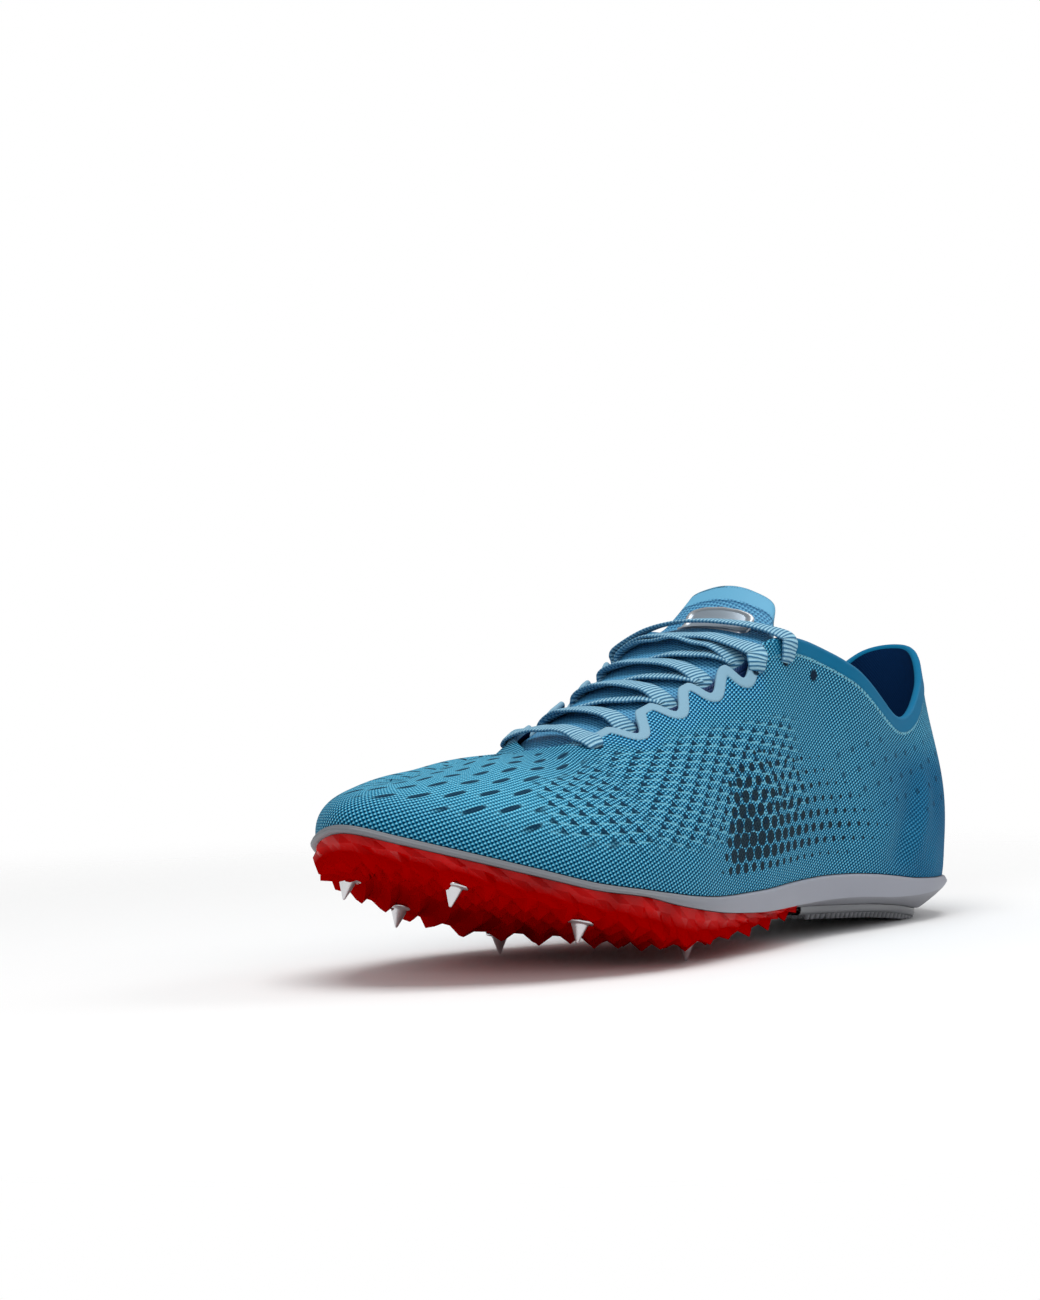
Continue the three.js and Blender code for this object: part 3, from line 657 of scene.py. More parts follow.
# The rolled rim: a half circle from the skin's top edge over to the lining's.
def upperRim(skin, rows, side):
    wide = rows <= openEnd
    top = skin["points"][wide, -1]
    normal = skin["normals"][wide, -1]
    rise = unit(top - skin["points"][wide, -3])
    thick = last["upperWall"] + (upperLook["collarThickness"] - last["upperWall"]) * (
        1 - smoothstep(5, 5.8, rows[wide])
    )
    thick = thick * (1 - smoothstep(8.4, 9, rows[wide])) + 0.01
    turn = np.linspace(0, math.pi, 7)
    centre = top - normal * (thick / 2)[:, None]
    out = normal[:, None] * np.cos(turn)[:, None] + rise[:, None] * np.sin(turn)[:, None]
    points = centre[:, None] + out * (thick / 2)[:, None, None]
    points[:, 0] = top
    shape = points.shape[:2]
    across = np.broadcast_to(turn * 0.8, shape)
    attributes = {key: np.repeat(skin["attributes"][key][wide, -1:], 7, 1) for key in skin["attributes"]}
    attributes["edge"] = np.zeros(shape)
    along = np.repeat(skin["uv"][wide, -1:, 0], 7, 1)
    uv = np.stack([along, skin["uv"][wide, -1:, 1] + across], -1)
    return {"points": points, "uv": uv, "attributes": attributes, "flip": side < 0}


# The lining: the same wall, its own thickness farther in.
def upperLining(side, rows, rim):
    shares = np.linspace(1, 0, 14)
    row, share = np.meshgrid(rows, shares, indexing="ij")
    share = share * wallTop(side, rows)[:, None]
    points = wallPoint(side, row, share) - wallNormal(side, row, share) * (last["upperWall"] - 0.2)
    wide = rows <= openEnd
    points[wide, 0] = rim["points"][:, -1]
    v = lengthsAlong(points, 1)
    u = rimLengths(side, rows, len(shares))
    return {"points": points, "uv": np.stack([u * side, v], -1), "flip": side < 0}


edges = {side: upperEdge(side) for side in (1, -1)}
skins = {side: upperSkin(side, upperRowList, edges[side]) for side in (1, -1)}
rims = {side: upperRim(skins[side], upperRowList, side) for side in (1, -1)}
linings = {side: upperLining(side, upperRowList, rims[side]) for side in (1, -1)}
for side, skin in skins.items():
    print("upper grids ready, side", side, "flat", np.ptp(skin["uv"].reshape(-1, 2), axis=0).round(), "mm")


def eyeletPlace(side, name):  # an eyelet's place in the skin's UV map
    row, share = eyelets[name]
    shares = np.linspace(0, share, 40)
    v = lengthsAlong(wallPoint(side, np.full(40, row), shares), 0)[-1]
    fine = np.linspace(row, toeRow, 800)
    return side * lengthsAlong(rimPoint(side, fine), 0)[-1], v


# The knit's material: stitches, slits and pierced lattices as heights and colours over the UV map, with
# painted shade in their recesses and painted highlights on their rises.

knitLook = {
    "side": (0.006, 0.19, 0.37),
    # the toe's lighter colour: painted light up the toe's top, and the random variation's tint
    "toe": (0.05, 0.36, 0.58),
    # painted shade for the knit's recesses and openings
    "recessShade": (0.0005, 0.02, 0.05),
    "thread": (0.24, 0.68, 0.86),
    "edging": (0.24, 0.42, 0.54),
    "halo": (0.008, 0.2, 0.46),
    # the heel's darker colour, painted shade low on the back
    "heel": (0.0005, 0.11, 0.26),
    "collar": (0.003, 0.15, 0.3),
    "stitch": (0.2, 0.5, 0.62),
    "dot": (0.006, 0.014, 0.02),
    # painted shade inside the eyelets
    "hole": (0.002, 0.012, 0.03),
    "navy": (0.0005, 0.02, 0.085),
    "lining": (0.001, 0.035, 0.13),
    "slitTurn": 30.0,  # degrees that the toe's slits lean from the rim
}


def fraction(wire):
    return wire.math("FRACT")


def knitMaterial():
    shader = Shader("upper knit")
    mapped, u, v = shader.uv("knit")
    attribute = {key: shader.attribute(key) for key in skins[1]["attributes"]}
    full = 2 * math.pi

    # The repeat of a slanted lattice: millimetres along and up from the nearest cell's middle, turned.
    def cells(e1, e2, origin, turn=0.0):
        area = e1[0] * e2[1] - e1[1] * e2[0]
        du, dv = u - origin[0], v - origin[1]
        p = fraction((du * e2[1] - dv * e2[0]) / area + 0.5) - 0.5
        q = fraction((dv * e1[0] - du * e1[1]) / area + 0.5) - 0.5
        du, dv = p * e1[0] + q * e2[0], p * e1[1] + q * e2[1]
        cos, sin = math.cos(math.radians(turn)), math.sin(math.radians(turn))
        return du * cos + dv * sin, dv * cos - du * sin

    # A pierced mark: a triangle, point up, of a half width and height.
    def pierced(du, dv, wide, tall):
        slope = du.math("ABSOLUTE") / wide + (dv + tall) / (tall * 2.2)
        return (1 - slope.step(0.75, 1.05)) * (dv + tall).step(-0.25, 0.25)

    wobble = shader.noise(mapped, 0.35, 3.0)
    a = (u * 0.86 + v * 0.5) * (full / 1.25)
    b = (v * 0.86 - u * 0.5) * (full / 1.08) + wobble * 1.5
    loops = (a + b.math("SINE") * 0.9).math("SINE") * 0.5 + 0.5
    courses = b.math("SINE") * 0.5 + 0.5
    stitches = loops * 0.45 + courses * 0.55

    # Slits: long lens shapes on the toe, tilted.
    du, dv = cells((12.4, 3.5), (7.5, 9.2), (55.1, 17.2), knitLook["slitTurn"])
    lens = (du / 5.2) * (du / 5.2) + (dv / 0.85) * (dv / 0.85)
    slit = (1 - lens.step(0.55, 1.15)) * attribute["slits"]
    lip = (1 - lens.step(1.2, 2.6)) * attribute["slits"] * (1 - slit)
    # Pierced marks in two pitches, each with a raised strip under it that is painted lighter as a painted
    # highlight.
    du, dv = cells((7.2, 1.2), (4.6, 4.1), (70.7, 23.6))
    foreMark = pierced(du, dv, 1.75, 1.2) * attribute["fore"]
    foreRidgeAndHighlight = dv.within(-2.1, -1.3, 0.3) * attribute["fore"]
    du, dv = cells((6.0, -1.2), (-3.4, 3.9), (163.0, 45.0))
    midMark = pierced(du, dv, 1.5, 1.0) * attribute["middle"]
    midRidgeAndHighlight = dv.within(-2.0, -1.1, 0.3) * attribute["middle"]
    du, dv = cells((8.5, 2.0), (-3.5, 6.5), (246.0, 23.0))
    heelMark = (1 - (du * du + dv * dv).step(0.5, 1.5)) * attribute["heel"] * 0.6
    # The slits and pierced marks are sunk in and painted near black: painted shade inside them.
    opening = slit.math("MAXIMUM", foreMark).math("MAXIMUM", midMark).math("MAXIMUM", heelMark)
    # The raised strips and the slits' lips are painted lighter: a painted highlight.
    ridgeAndHighlight = foreRidgeAndHighlight + midRidgeAndHighlight + lip * 0.3

    # Graduated dots on the quarter.
    da, db = cells((5.4, 0.0), (2.7, 4.5), (150.0, 16.0), 12)
    fade = 1 - ((u.math("ABSOLUTE") - 150) / 115).math("ABSOLUTE") - ((v - 16) / 60).math("ABSOLUTE")
    size = fade * 2.9 * attribute["dots"]
    radius = (da * da + db * db).math("SQRT")
    dot = (1 - (radius - size).step(-0.15, 0.15)) * size.step(0.15, 0.4)

    # Eyelets: round holes at their places on both sides, sunk in and painted dark as painted shade inside
    # them.
    hole = None
    for side in (1, -1):
        for name in eyelets:
            atU, atV = eyeletPlace(side, name)
            du, dv = u - atU, v - atV
            away = (du * du + dv * dv).math("SQRT")
            inside = 1 - away.step(1.5, 2.2)
            hole = inside if hole is None else hole.math("MAXIMUM", inside)

    edge = attribute["edge"]
    band = (1 - edge.step(2.8, 3.15)) * attribute["throat"]
    halo = (1 - edge.step(5.5, 8.5)) * attribute["throat"]
    pad = (1 - edge.step(3.9, 4.3)) * attribute["collar"]
    seam = edge.within(4.2, 4.9, 0.2) * attribute["collar"]
    smoothPart = band.math("MAXIMUM", pad)

    broad = shader.noise(mapped, 0.03, 2.0)
    # The spaces between stitches are painted near black, less at the toe and the back: painted shade in
    # the knit's recesses.
    gapShade = (1 - stitches.step(0.25, 0.6)) * (1.0 - attribute["toe"] * 0.2 - attribute["back"] * 0.25)
    # The stitches' tops in the light thread colour, dimmed at the back as painted shade.
    shine = stitches.step(0.6, 0.9) * (0.9 - attribute["back"] * 0.75)
    dashes = fraction(u / 1.8).within(0.1, 0.8, 0.1)
    shade = shader.layers(
        knitLook["side"],
        knitLook,
        # painted light up the toe's top and painted shade low on the back
        (attribute["toe"], "toe"),
        (attribute["back"], "heel"),
        (halo * 0.8, "halo"),
        ((broad - 0.4) * 0.6, "toe"),
        (gapShade, "recessShade"),
        (shine, "thread"),
        (ridgeAndHighlight * 0.4, "thread"),
        (dot * 0.96, "dot"),
        (opening * 0.95, "recessShade"),
        (pad, "collar"),
        (seam * dashes, "stitch"),
        (band, "edging"),
        (hole, "hole"),
    )

    height = stitches * (1 - smoothPart) * (0.75 - attribute["toe"] * 0.2)
    height = height - opening * 2.4 + ridgeAndHighlight * 0.7 - hole * 4
    rough = 0.72 - smoothPart * 0.22
    surface = shader.bump(height, 0.9, 0.00022)
    tint = (0.1, 0.5, 1.0, 1)
    return shader.set(
        basecolor=shade, roughness=rough, normal=surface, specularIORlevel=0.2, speculartint=tint
    )


# The lining: a weave of two sines across each other, 1.2 mm apart.
def liningMaterial():
    shader = Shader("lining cloth")
    _, u, v = shader.uv("knit")
    turns = 2 * math.pi / 1.2
    weave = (u * turns).math("SINE") * (v * turns).math("SINE")
    shade = shader.mix(weave * 0.5 + 0.5, knitLook["navy"], knitLook["lining"])
    surface = shader.bump(weave, 0.6, 0.0001)
    return shader.set(basecolor=shade, roughness=0.8, normal=surface, specularIORlevel=0.1)


knit = knitMaterial()
upper = joinGrids("knitted_upper", [skins[1], skins[-1], rims[1], rims[-1]])
finish(upper, knit, "upper")
lining = joinGrids("upper_lining", [linings[1], linings[-1]])
finish(lining, liningMaterial(), "upper")
print("upper ready", len(upper.data.polygons) + len(lining.data.polygons))


# The tongue: a pad under the throat, its free end standing up out of the collar.

tongueLook = {
    "thickness": 2.4,
    "taper": 0.34,
    "lean": 11.0,
    "rise": 13.0,
    "round": 0.3,
    "colour": (0.1, 0.38, 0.62),
    "thread": (0.2, 0.52, 0.76),
    "dark": (0.01, 0.12, 0.28),
    "smooth": (0.13, 0.42, 0.64),
    "shadow": (0.0, 0.022, 0.1),
}


# The tongue's control points: along the inside of both walls and over the throat in an arch, row by
# row, then the free end, stepped back and up and narrowed by the square root of the step.
def tongueControls():
    rows = np.linspace(10, 5, 21)
    inward = last["upperWall"] + last["tongueGap"]
    sides = []
    for side in (1, -1):
        reach = last["tongueUnderlap"] / ribLength(side, rows)
        flank = []
        for part in (1, 0.5, 0):
            share = 0.995 - part * reach
            flank.append(wallPoint(side, rows, share) - wallNormal(side, rows, share) * inward)
        sides.append(flank)
    outer, inner = sides
    width = np.linalg.norm(outer[2] - inner[2], axis=-1)
    arch = []
    for t in (0.25, 0.5, 0.75):
        point = outer[2] * (1 - t) + inner[2] * t
        point[:, 2] += last["tongueCrown"] * width / last["ballWidth"] * 4 * t * (1 - t)
        arch.append(point)
    sections = np.stack([*outer, *arch, *inner[::-1]], 1)
    end = sections[-1]
    middle = end[4]
    free = []
    for step in (0.15, 0.3, 0.45, 0.6, 0.75, 0.88, 1.0):
        narrow = 1 - tongueLook["taper"] * math.sqrt(step)
        point = end.copy()
        point[:, 1] = middle[1] + (end[:, 1] - middle[1]) * narrow
        point[:, 0] -= tongueLook["lean"] * step
        away = np.abs(np.linspace(-1, 1, 9)) ** 3
        point[:, 2] += tongueLook["rise"] * step * (1 - tongueLook["round"] * away * step)
        free.append(point)
    return np.concatenate([sections, free])


# A closed pad from a grid: its face, a rounded edge all round, and its back along the normals.
def slab(points, thickness, uv, attributes=None):
    normals = gridNormals(points)
    layers = []
    for turn in np.linspace(0, math.pi, 7):
        inset = (1 - math.sin(turn)) * 0.5
        depth = (1 - math.cos(turn)) / 2 * thickness
        layers.append((inset, depth))
    ring = [shrinkBorder(points, normals, inset * thickness, depth) for inset, depth in layers]
    ring = np.stack(ring, 1)
    back = points - normals * thickness
    front = points.copy()
    placeBorder(front, ring[:, 0])
    placeBorder(back, ring[:, -1])
    uvRing = np.repeat(borderOf(uv)[:, None], len(layers), 1)
    grids = [
        {"points": front, "uv": uv, "attributes": attributes or {}},
        {"points": back, "uv": uv, "attributes": attributes or {}, "flip": True},
        {"points": closed(ring), "uv": closed(uvRing), "flip": True},
    ]
    for key in attributes or {}:
        values = np.repeat(borderOf(attributes[key][..., None])[:, None, 0], len(layers), 1)
        grids[2].setdefault("attributes", {})[key] = closed(values)
    return grids


def closed(ring):  # a ring with its first line again at the end
    return np.concatenate([ring, ring[:1]])


def borderOf(grid):  # a grid's border, once round
    return np.concatenate([grid[:-1, 0], grid[-1, :-1], grid[:0:-1, -1], grid[0, :0:-1]])


def placeBorder(grid, border):
    columns, rows = grid.shape[:2]
    grid[:-1, 0] = border[: columns - 1]
    grid[-1, :-1] = border[columns - 1 : columns + rows - 2]
    grid[:0:-1, -1] = border[columns + rows - 2 : 2 * columns + rows - 3]
    grid[0, :0:-1] = border[2 * columns + rows - 3 :]


def shrinkBorder(points, normals, inset, depth):  # the border moved inwards and down
    towards = unit(np.concatenate([
        points[:-1, 1] - points[:-1, 0],
        points[-2, :-1] - points[-1, :-1],
        points[:0:-1, -2] - points[:0:-1, -1],
        points[1, :0:-1] - points[0, :0:-1],
    ]))
    return borderOf(points) + towards * inset - borderOf(normals) * depth


def tongueMaterial():
    shader = Shader("tongue knit")
    _, u, v = shader.uv("knit")
    border = shader.attribute("border")
    full = 2 * math.pi
    a = (u + v * 0.35) * (full / 1.5)
    b = (v - u * 0.2) * (full / 1.2)
    stitches = (a + b.math("SINE")).math("SINE") * 0.3 + b.math("SINE") * 0.3 + 0.5
    knitted = border.step(5.5, 6.5)
    seam = border.within(6.6, 7.2, 0.15)
    shade = shader.layers(
        tongueLook["dark"],
        tongueLook,
        (stitches.step(0.1, 0.75), "colour"),
        (stitches.step(0.8, 1.1) * 0.5, "thread"),
        (1 - knitted, "smooth"),
        (seam * 0.6, "dark"),
        # painted shade on the flanks
        (shader.attribute("flank"), "shadow"),
    )
    height = stitches * knitted - seam * 1.5
    surface = shader.bump(height, 0.8, 0.0002)
    return shader.set(basecolor=shade, roughness=0.55, normal=surface, specularIORlevel=0.3)


tongueRows = 110
tongueColumns = 64
tongueMiddle = tongueColumns // 2 - 1
tongueGrid = smoothPath(tongueControls(), tongueRows)
tongueGrid = smoothPath(np.swapaxes(tongueGrid, 0, 1), tongueColumns).swapaxes(0, 1)
tongueU = lengthsAlong(tongueGrid, 1)
tongueU = tongueU - tongueU[:, tongueMiddle, None]
tongueV = lengthsAlong(tongueGrid, 0)
middleV = tongueV[:, tongueMiddle]
tongueUv = np.stack(np.broadcast_arrays(tongueU, middleV[:, None]), -1)
tongueBorder = np.minimum(
    np.minimum(tongueU - tongueU[:, :1], tongueU[:, -1:] - tongueU),
    tongueV[-1:, :] - tongueV,
)
tongueShares = np.abs(np.linspace(-1, 1, tongueColumns))
# The tongue's flanks below the collar are painted dark: painted shade where the throat's walls hide them.
throatPart = 1 - smoothstep(78, 84, np.arange(tongueRows))  # the rows below the collar
tongueFlankShade = throatPart[:, None] * smoothstep(0.42, 0.6, tongueShares)
grids = slab(tongueGrid, tongueLook["thickness"], tongueUv, {"border": tongueBorder, "flank": tongueFlankShade})
tongue = joinGrids("tongue_pad", grids)
finish(tongue, tongueMaterial(), "tongue")


# A bare label frame near the tongue's top: a flat rounded rectangle with a raised border.
def tonguePlace(across, along):  # a point and normal of the tongue from millimetres off its middle and top
    normals = gridNormals(tongueGrid)
    row = np.interp(middleV[-1] - along, middleV, np.arange(tongueRows))
    k = np.clip(row.astype(int), 0, tongueRows - 2)
    part = (row - k)[..., None]
    line = tongueGrid[k] * (1 - part[..., None]) + tongueGrid[k + 1] * part[..., None]
    lineNormal = normals[k] * (1 - part[..., None]) + normals[k + 1] * part[..., None]
    lineU = tongueU[k] * (1 - part) + tongueU[k + 1] * part
    places = np.arange(tongueColumns)
    lines = zip(across.ravel(), lineU.reshape(-1, tongueColumns))
    at = np.array([np.interp(away, line, places) for away, line in lines])
    j = np.clip(at.astype(int), 0, tongueColumns - 2)
    f = (at - j)[:, None]
    pick = np.arange(len(j))
    line = line.reshape(-1, tongueColumns, 3)
    lineNormal = lineNormal.reshape(-1, tongueColumns, 3)
    point = line[pick, j] * (1 - f) + line[pick, j + 1] * f
    normal = lineNormal[pick, j] * (1 - f) + lineNormal[pick, j + 1] * f
    return point.reshape(*across.shape, 3), normal.reshape(*across.shape, 3)


label = {
    "width": 26.0,
    "height": 12.0,
    "fromTop": 15.5,
    "colour": (0.42, 0.45, 0.48),
    "field": (0.3, 0.36, 0.42),
}


# The label: rings of a rounded rectangle from its middle out, lifted by a step at the border.
def labelGrid():
    turn = np.linspace(0, 2 * math.pi, 97)
    sx, sy = np.cos(turn), np.sin(turn)
    power = 0.28
    ringX = np.sign(sx) * np.abs(sx) ** power * label["width"] / 2
    ringY = np.sign(sy) * np.abs(sy) ** power * label["height"] / 2
    shares = np.array([0, 0.4, 0.75, 0.84, 0.86, 0.95, 0.98, 1.0])
    lifts = np.array([0.25, 0.25, 0.25, 0.25, 0.65, 0.65, 0.5, -0.1])
    x = ringX[:, None] * shares
    y = ringY[:, None] * shares + label["fromTop"]
    points, normals = tonguePlace(x, y)
    return {
        "points": points + normals * lifts[None, :, None],
        "uv": np.stack([x, y], -1),
        "attributes": {"border": np.broadcast_to(shares, x.shape)},
    }


def labelMaterial():
    shader = Shader("label film")
    border = shader.attribute("border")
    shade = shader.mix(border.step(0.8, 0.86), label["field"], label["colour"])
    return shader.set(basecolor=shade, roughness=0.32, metallic=0.55)


labelPiece = joinGrids("tongue_label", [labelGrid()])
finish(labelPiece, labelMaterial(), "tongue")
print("tongue ready, flat", round(middleV[-1]), "by", round(np.ptp(tongueU, axis=1).max()), "mm")

# The lace: flat ribbed bars over the tongue, that dive under the throat's edges or into the eyelets

laceLook = {
    "width": 8.2,
    "thickness": 1.2,
    "pinch": 0.75,  # share of the width beside an eyelet
    "count": 90,
    "colour": (0.24, 0.5, 0.66),
    "light": (0.46, 0.74, 0.86),
    "dark": (0.01, 0.12, 0.26),
}


# A flat band along a path: a rounded cross-section, square to the path and its normals.
def band(path, normals, widths, thickness):
    along = np.gradient(path, axis=0)
    along /= np.linalg.norm(along, axis=-1, keepdims=True)
    across = np.cross(along, normals)
    across /= np.linalg.norm(across, axis=-1, keepdims=True)
    out = np.cross(across, along)
    turn = np.linspace(0, 2 * math.pi, 17)[:-1]
    sideways = np.sign(np.cos(turn)) * np.abs(np.cos(turn)) ** 0.5 / 2
    upward = np.sign(np.sin(turn)) * np.abs(np.sin(turn)) ** 0.7 / 2
    section = across[:, None] * (sideways * widths[:, None])[..., None]
    points = path[:, None] + section + out[:, None] * (upward * thickness)[:, None]
    points = np.concatenate([path[:1, None].repeat(16, 1), points, path[-1:, None].repeat(16, 1)])
    length = lengthsAlong(path, 0)
    length = np.concatenate([length[:1], length, length[-1:]])
    uv = np.stack(np.broadcast_arrays(length[:, None], (sideways * laceLook["width"])[None, :]), -1)
    return {"points": points, "uv": uv, "wrap": True, "flip": True}


def tongueHeight(point):  # the highest of the tongue's points that lie near a point in plan
    flat = tongueGrid.reshape(-1, 3)
    away = np.linalg.norm(flat[:, :2] - point[:2], axis=-1)
    return flat[away < away.min() + 1.5, 2].max()


# One lace bar from a place on one wall to a place on the other: out of the edge or the eyelet, over
# the tongue at a lift above its face, and down again.
def laceBar(start, end, side, lift, startHole=False, endHole=False):
    ends = []
    for (row, share), on, hole in ((start, side, startHole), (end, -side, endHole)):
        row = np.array([row])
        top = wallTop(on, row)
        edge = wallPoint(on, row, top)[0]
        out = wallNormal(on, row, top)[0]
        up = edge - wallPoint(on, row, top - 0.08)[0]
        up /= np.linalg.norm(up)
        if hole:
            at = wallPoint(on, row, share)[0]
            normal = wallNormal(on, row, share)[0]
            high = (at + edge) / 2
            steps = [at - normal * 2.6, at + normal * 0.5, high + out * 1.7, edge + out * 1.2 + up]
            facing = [normal * 0.1 - up, normal * 0.6 - up * 0.8, out, out + [0, 0, 0.5]]
        else:
            edge = edge - up * (last["notchDepth"] - (1 - top[0]) * ribLength(on, row)[0])
            steps = [edge - up * 5 - out * 8, edge + up * 2 - out * 5.6, edge + up * 8 - out * 2.6]
            facing = [out, out, out + [0, 0, 0.4]]
        ends.append((np.array(steps), np.array(facing)))
    (first, firstFacing), (final, finalFacing) = ends
    arch, archFacing = [], []
    for t in (0.16, 0.33, 0.5, 0.67, 0.84):
        point = first[-1] * (1 - t) + final[-1] * t
        point[2] = tongueHeight(point) + lift
        arch.append(point)
        archFacing.append(firstFacing[-1] * (1 - t) + finalFacing[-1] * t + [0, 0, 1.2])
    count, pinch = laceLook["count"], laceLook["pinch"]
    path = smoothPath(np.concatenate([first, arch, final[::-1]]), count)
    facing = smoothPath(np.concatenate([firstFacing, archFacing, finalFacing[::-1]]), count)
    t = np.linspace(0, 1, count)
    widths = np.full(count, laceLook["width"])
    for hole, away in ((startHole, t), (endHole, 1 - t)):
        if hole:
            widths *= pinch + (1 - pinch) * smoothstep(0.06, 0.3, away)
            widths *= 0.6 + 0.4 * smoothstep(0.0, 0.12, away)
    return band(path, facing, widths, laceLook["thickness"])


def laceMaterial():
    shader = Shader("lace weave")
    _, u, v = shader.uv("knit")
    full = 2 * math.pi
    ribs = ((u + v.math("ABSOLUTE") * 0.05) * (full / 1.2)).math("SINE") * 0.5 + 0.5
    edge = v.math("ABSOLUTE").step(3.6, 4.0)
    shade = shader.layers(
        laceLook["dark"],
        laceLook,
        (ribs.step(0.0, 0.5), "colour"),
        (ribs.step(0.7, 1.0) * 0.6, "light"),
        (edge * 0.7, "dark"),
    )
    surface = shader.bump(ribs, 0.9, 0.0003)
    return shader.set(basecolor=shade, roughness=0.6, normal=surface, specularIORlevel=0.3)


notchStops = [(row, 1.0) for row in notchRows[::-1]]
bars = [laceBar(eyelets["bottom"], eyelets["bottom"], 1, 3.6, True, True)]
for stop in notchStops:  # the upper layer goes straight across
    bars.append(laceBar(stop, stop, 1, 2.4))
bars.append(laceBar(eyelets["sixth"], (5.62, 1.0), 1, 2.6, True))
bars.append(laceBar(eyelets["top"], eyelets["sixth"], 1, 2.6, True, True))
for a, b in zip(notchStops[:-1], notchStops[1:]):  # the lower layer crosses under it
    bars.append(laceBar(a, b, -1, 0.8))
laces = joinGrids("lace_bars", bars)
finish(laces, laceMaterial(), "laces")
barLengths = [bar["uv"][..., 0].max() for bar in bars]
print("laces ready, bars", len(bars), "of", round(sum(barLengths)), "mm in all")

# The sole

soleLook = {
    "treadInset": 7.0,
    "heelBevel": 9.0,
    "plateStart": 5.2,
    "heelColour": (0.3, 0.31, 0.36),
    "bandColour": (0.17, 0.18, 0.2),
    "under": (0.2, 0.2, 0.22),
}


def heelInset(row):
    return soleLook["treadInset"] + soleLook["heelBevel"] * (1 - smoothstep(0, 2.6, row))


# A ring of the sole at an inset from the outline, its heights from a function of the length's share.
def soleRing(side, rows, inset, height):
    plan = insetPoint(side, rows, np.broadcast_to(inset, rows.shape))
    return flatPoints(plan, height(np.clip(plan[:, 0] / last["soleLength"], 0, 1)))


def middleRing(rows, height):
    plan = middlePoint(rows)
    return flatPoints(plan, height(plan[:, 0] / last["soleLength"]))


def rimAt(x):
    return soleHeight(x, "rim")


def bandAt(x):
    return soleHeight(x, "band")


def baseAt(x):
    return soleHeight(x, "base")


# The midsole: its underside, a tuck out to the band, an upright side, and a rounded rim.
def midsoleGrid(side):
    rows = evenRows(0, toeRow, 300)
    plate = smoothstep(soleLook["plateStart"] - 0.5, soleLook["plateStart"] - 0.3, rows)
    inset = heelInset(rows) * (1 - plate) + 6 * plate

    def base(x):  # raised where the plate lies under it
        return baseAt(x) + plate * 3.3

    def low(x):
        return base(x) * (1 - plate) + bandAt(x) * plate

    rings = [(inset * 1.6 + 4, base), (inset, base), (inset * 0.93, lambda x: low(x) + 0.1)]
    for t in np.linspace(0.12, 1, 7):  # a slightly hollow bevel up to the band's crease
        rings.append((inset * 0.93 * (1 - t) ** 1.15, lambda x, t=t: low(x) + (bandAt(x) - low(x)) * t))
    for t in (0.03, 0.15, 0.35, 0.6, 0.8, 0.92):  # the side bulges a little
        bulge = -0.35 * math.sin(math.pi * t)
        rings.append((bulge, lambda x, t=t: bandAt(x) + (rimAt(x) - 1.0 - bandAt(x)) * t))
    for turn in np.linspace(0, math.pi / 2, 5):  # and rounds over at its top, 1 mm wide
        rings.append((1 - math.cos(turn), lambda x, turn=turn: rimAt(x) - 1.0 + math.sin(turn)))
    rings.append((9.0, rimAt))
    points = np.stack([soleRing(side, rows, *ring) for ring in rings], 1)
    v = lengthsAlong(points, 1)
    u = rimLengths(side, rows, points.shape[1])
    level = np.broadcast_to(np.arange(points.shape[1]), points.shape[:2]).astype(float)
    x = points[..., 0] / last["soleLength"]
    return {
        "points": points,
        "uv": np.stack([u * side, v], -1),
        "attributes": {"level": level, "front": smoothstep(0.52, 0.78, x)},
        "flip": side < 0,
    }


def midsoleMaterial():
    shader = Shader("midsole foam")
    where = shader.place()[0]
    level = shader.attribute("level")
    side = shader.mix(shader.attribute("front"), soleLook["heelColour"], soleLook["bandColour"])
    below = 1 - level.step(8.6, 9.6)
    shade = shader.mix(below * 0.75, side, soleLook["under"])
    grain = shader.noise(where, 2500.0, 2.0)
    surface = shader.bump(grain, 0.25, 0.0001)
    return shader.set(basecolor=shade, roughness=0.5, normal=surface)


midsole = joinGrids("midsole_foam", [midsoleGrid(1), midsoleGrid(-1)])
finish(midsole, midsoleMaterial(), "midsole")


# The red plate: a faceted tray, its side in large uneven facets and its underside in pyramids.


def scatter(i, j, seed=0.0):  # an uneven but repeatable number from 0 to 1
    value = np.sin(i * 127.1 + j * 311.7 + seed) * 43758.5453
    return value - np.floor(value)


plateSides = (  # rings of the side: number, share of the way up, push, slide, and the push's direction
    (7, 0.0, 3.4, 2.0, 0.35, 0.9),
    (8, 0.32, 2.6, 2.6, 0.8, 0.5),
    (9, 0.66, 1.7, 2.0, 1.0, 0.2),
)
plateEnds = {}  # the outer side's last corners, which the inner side shares


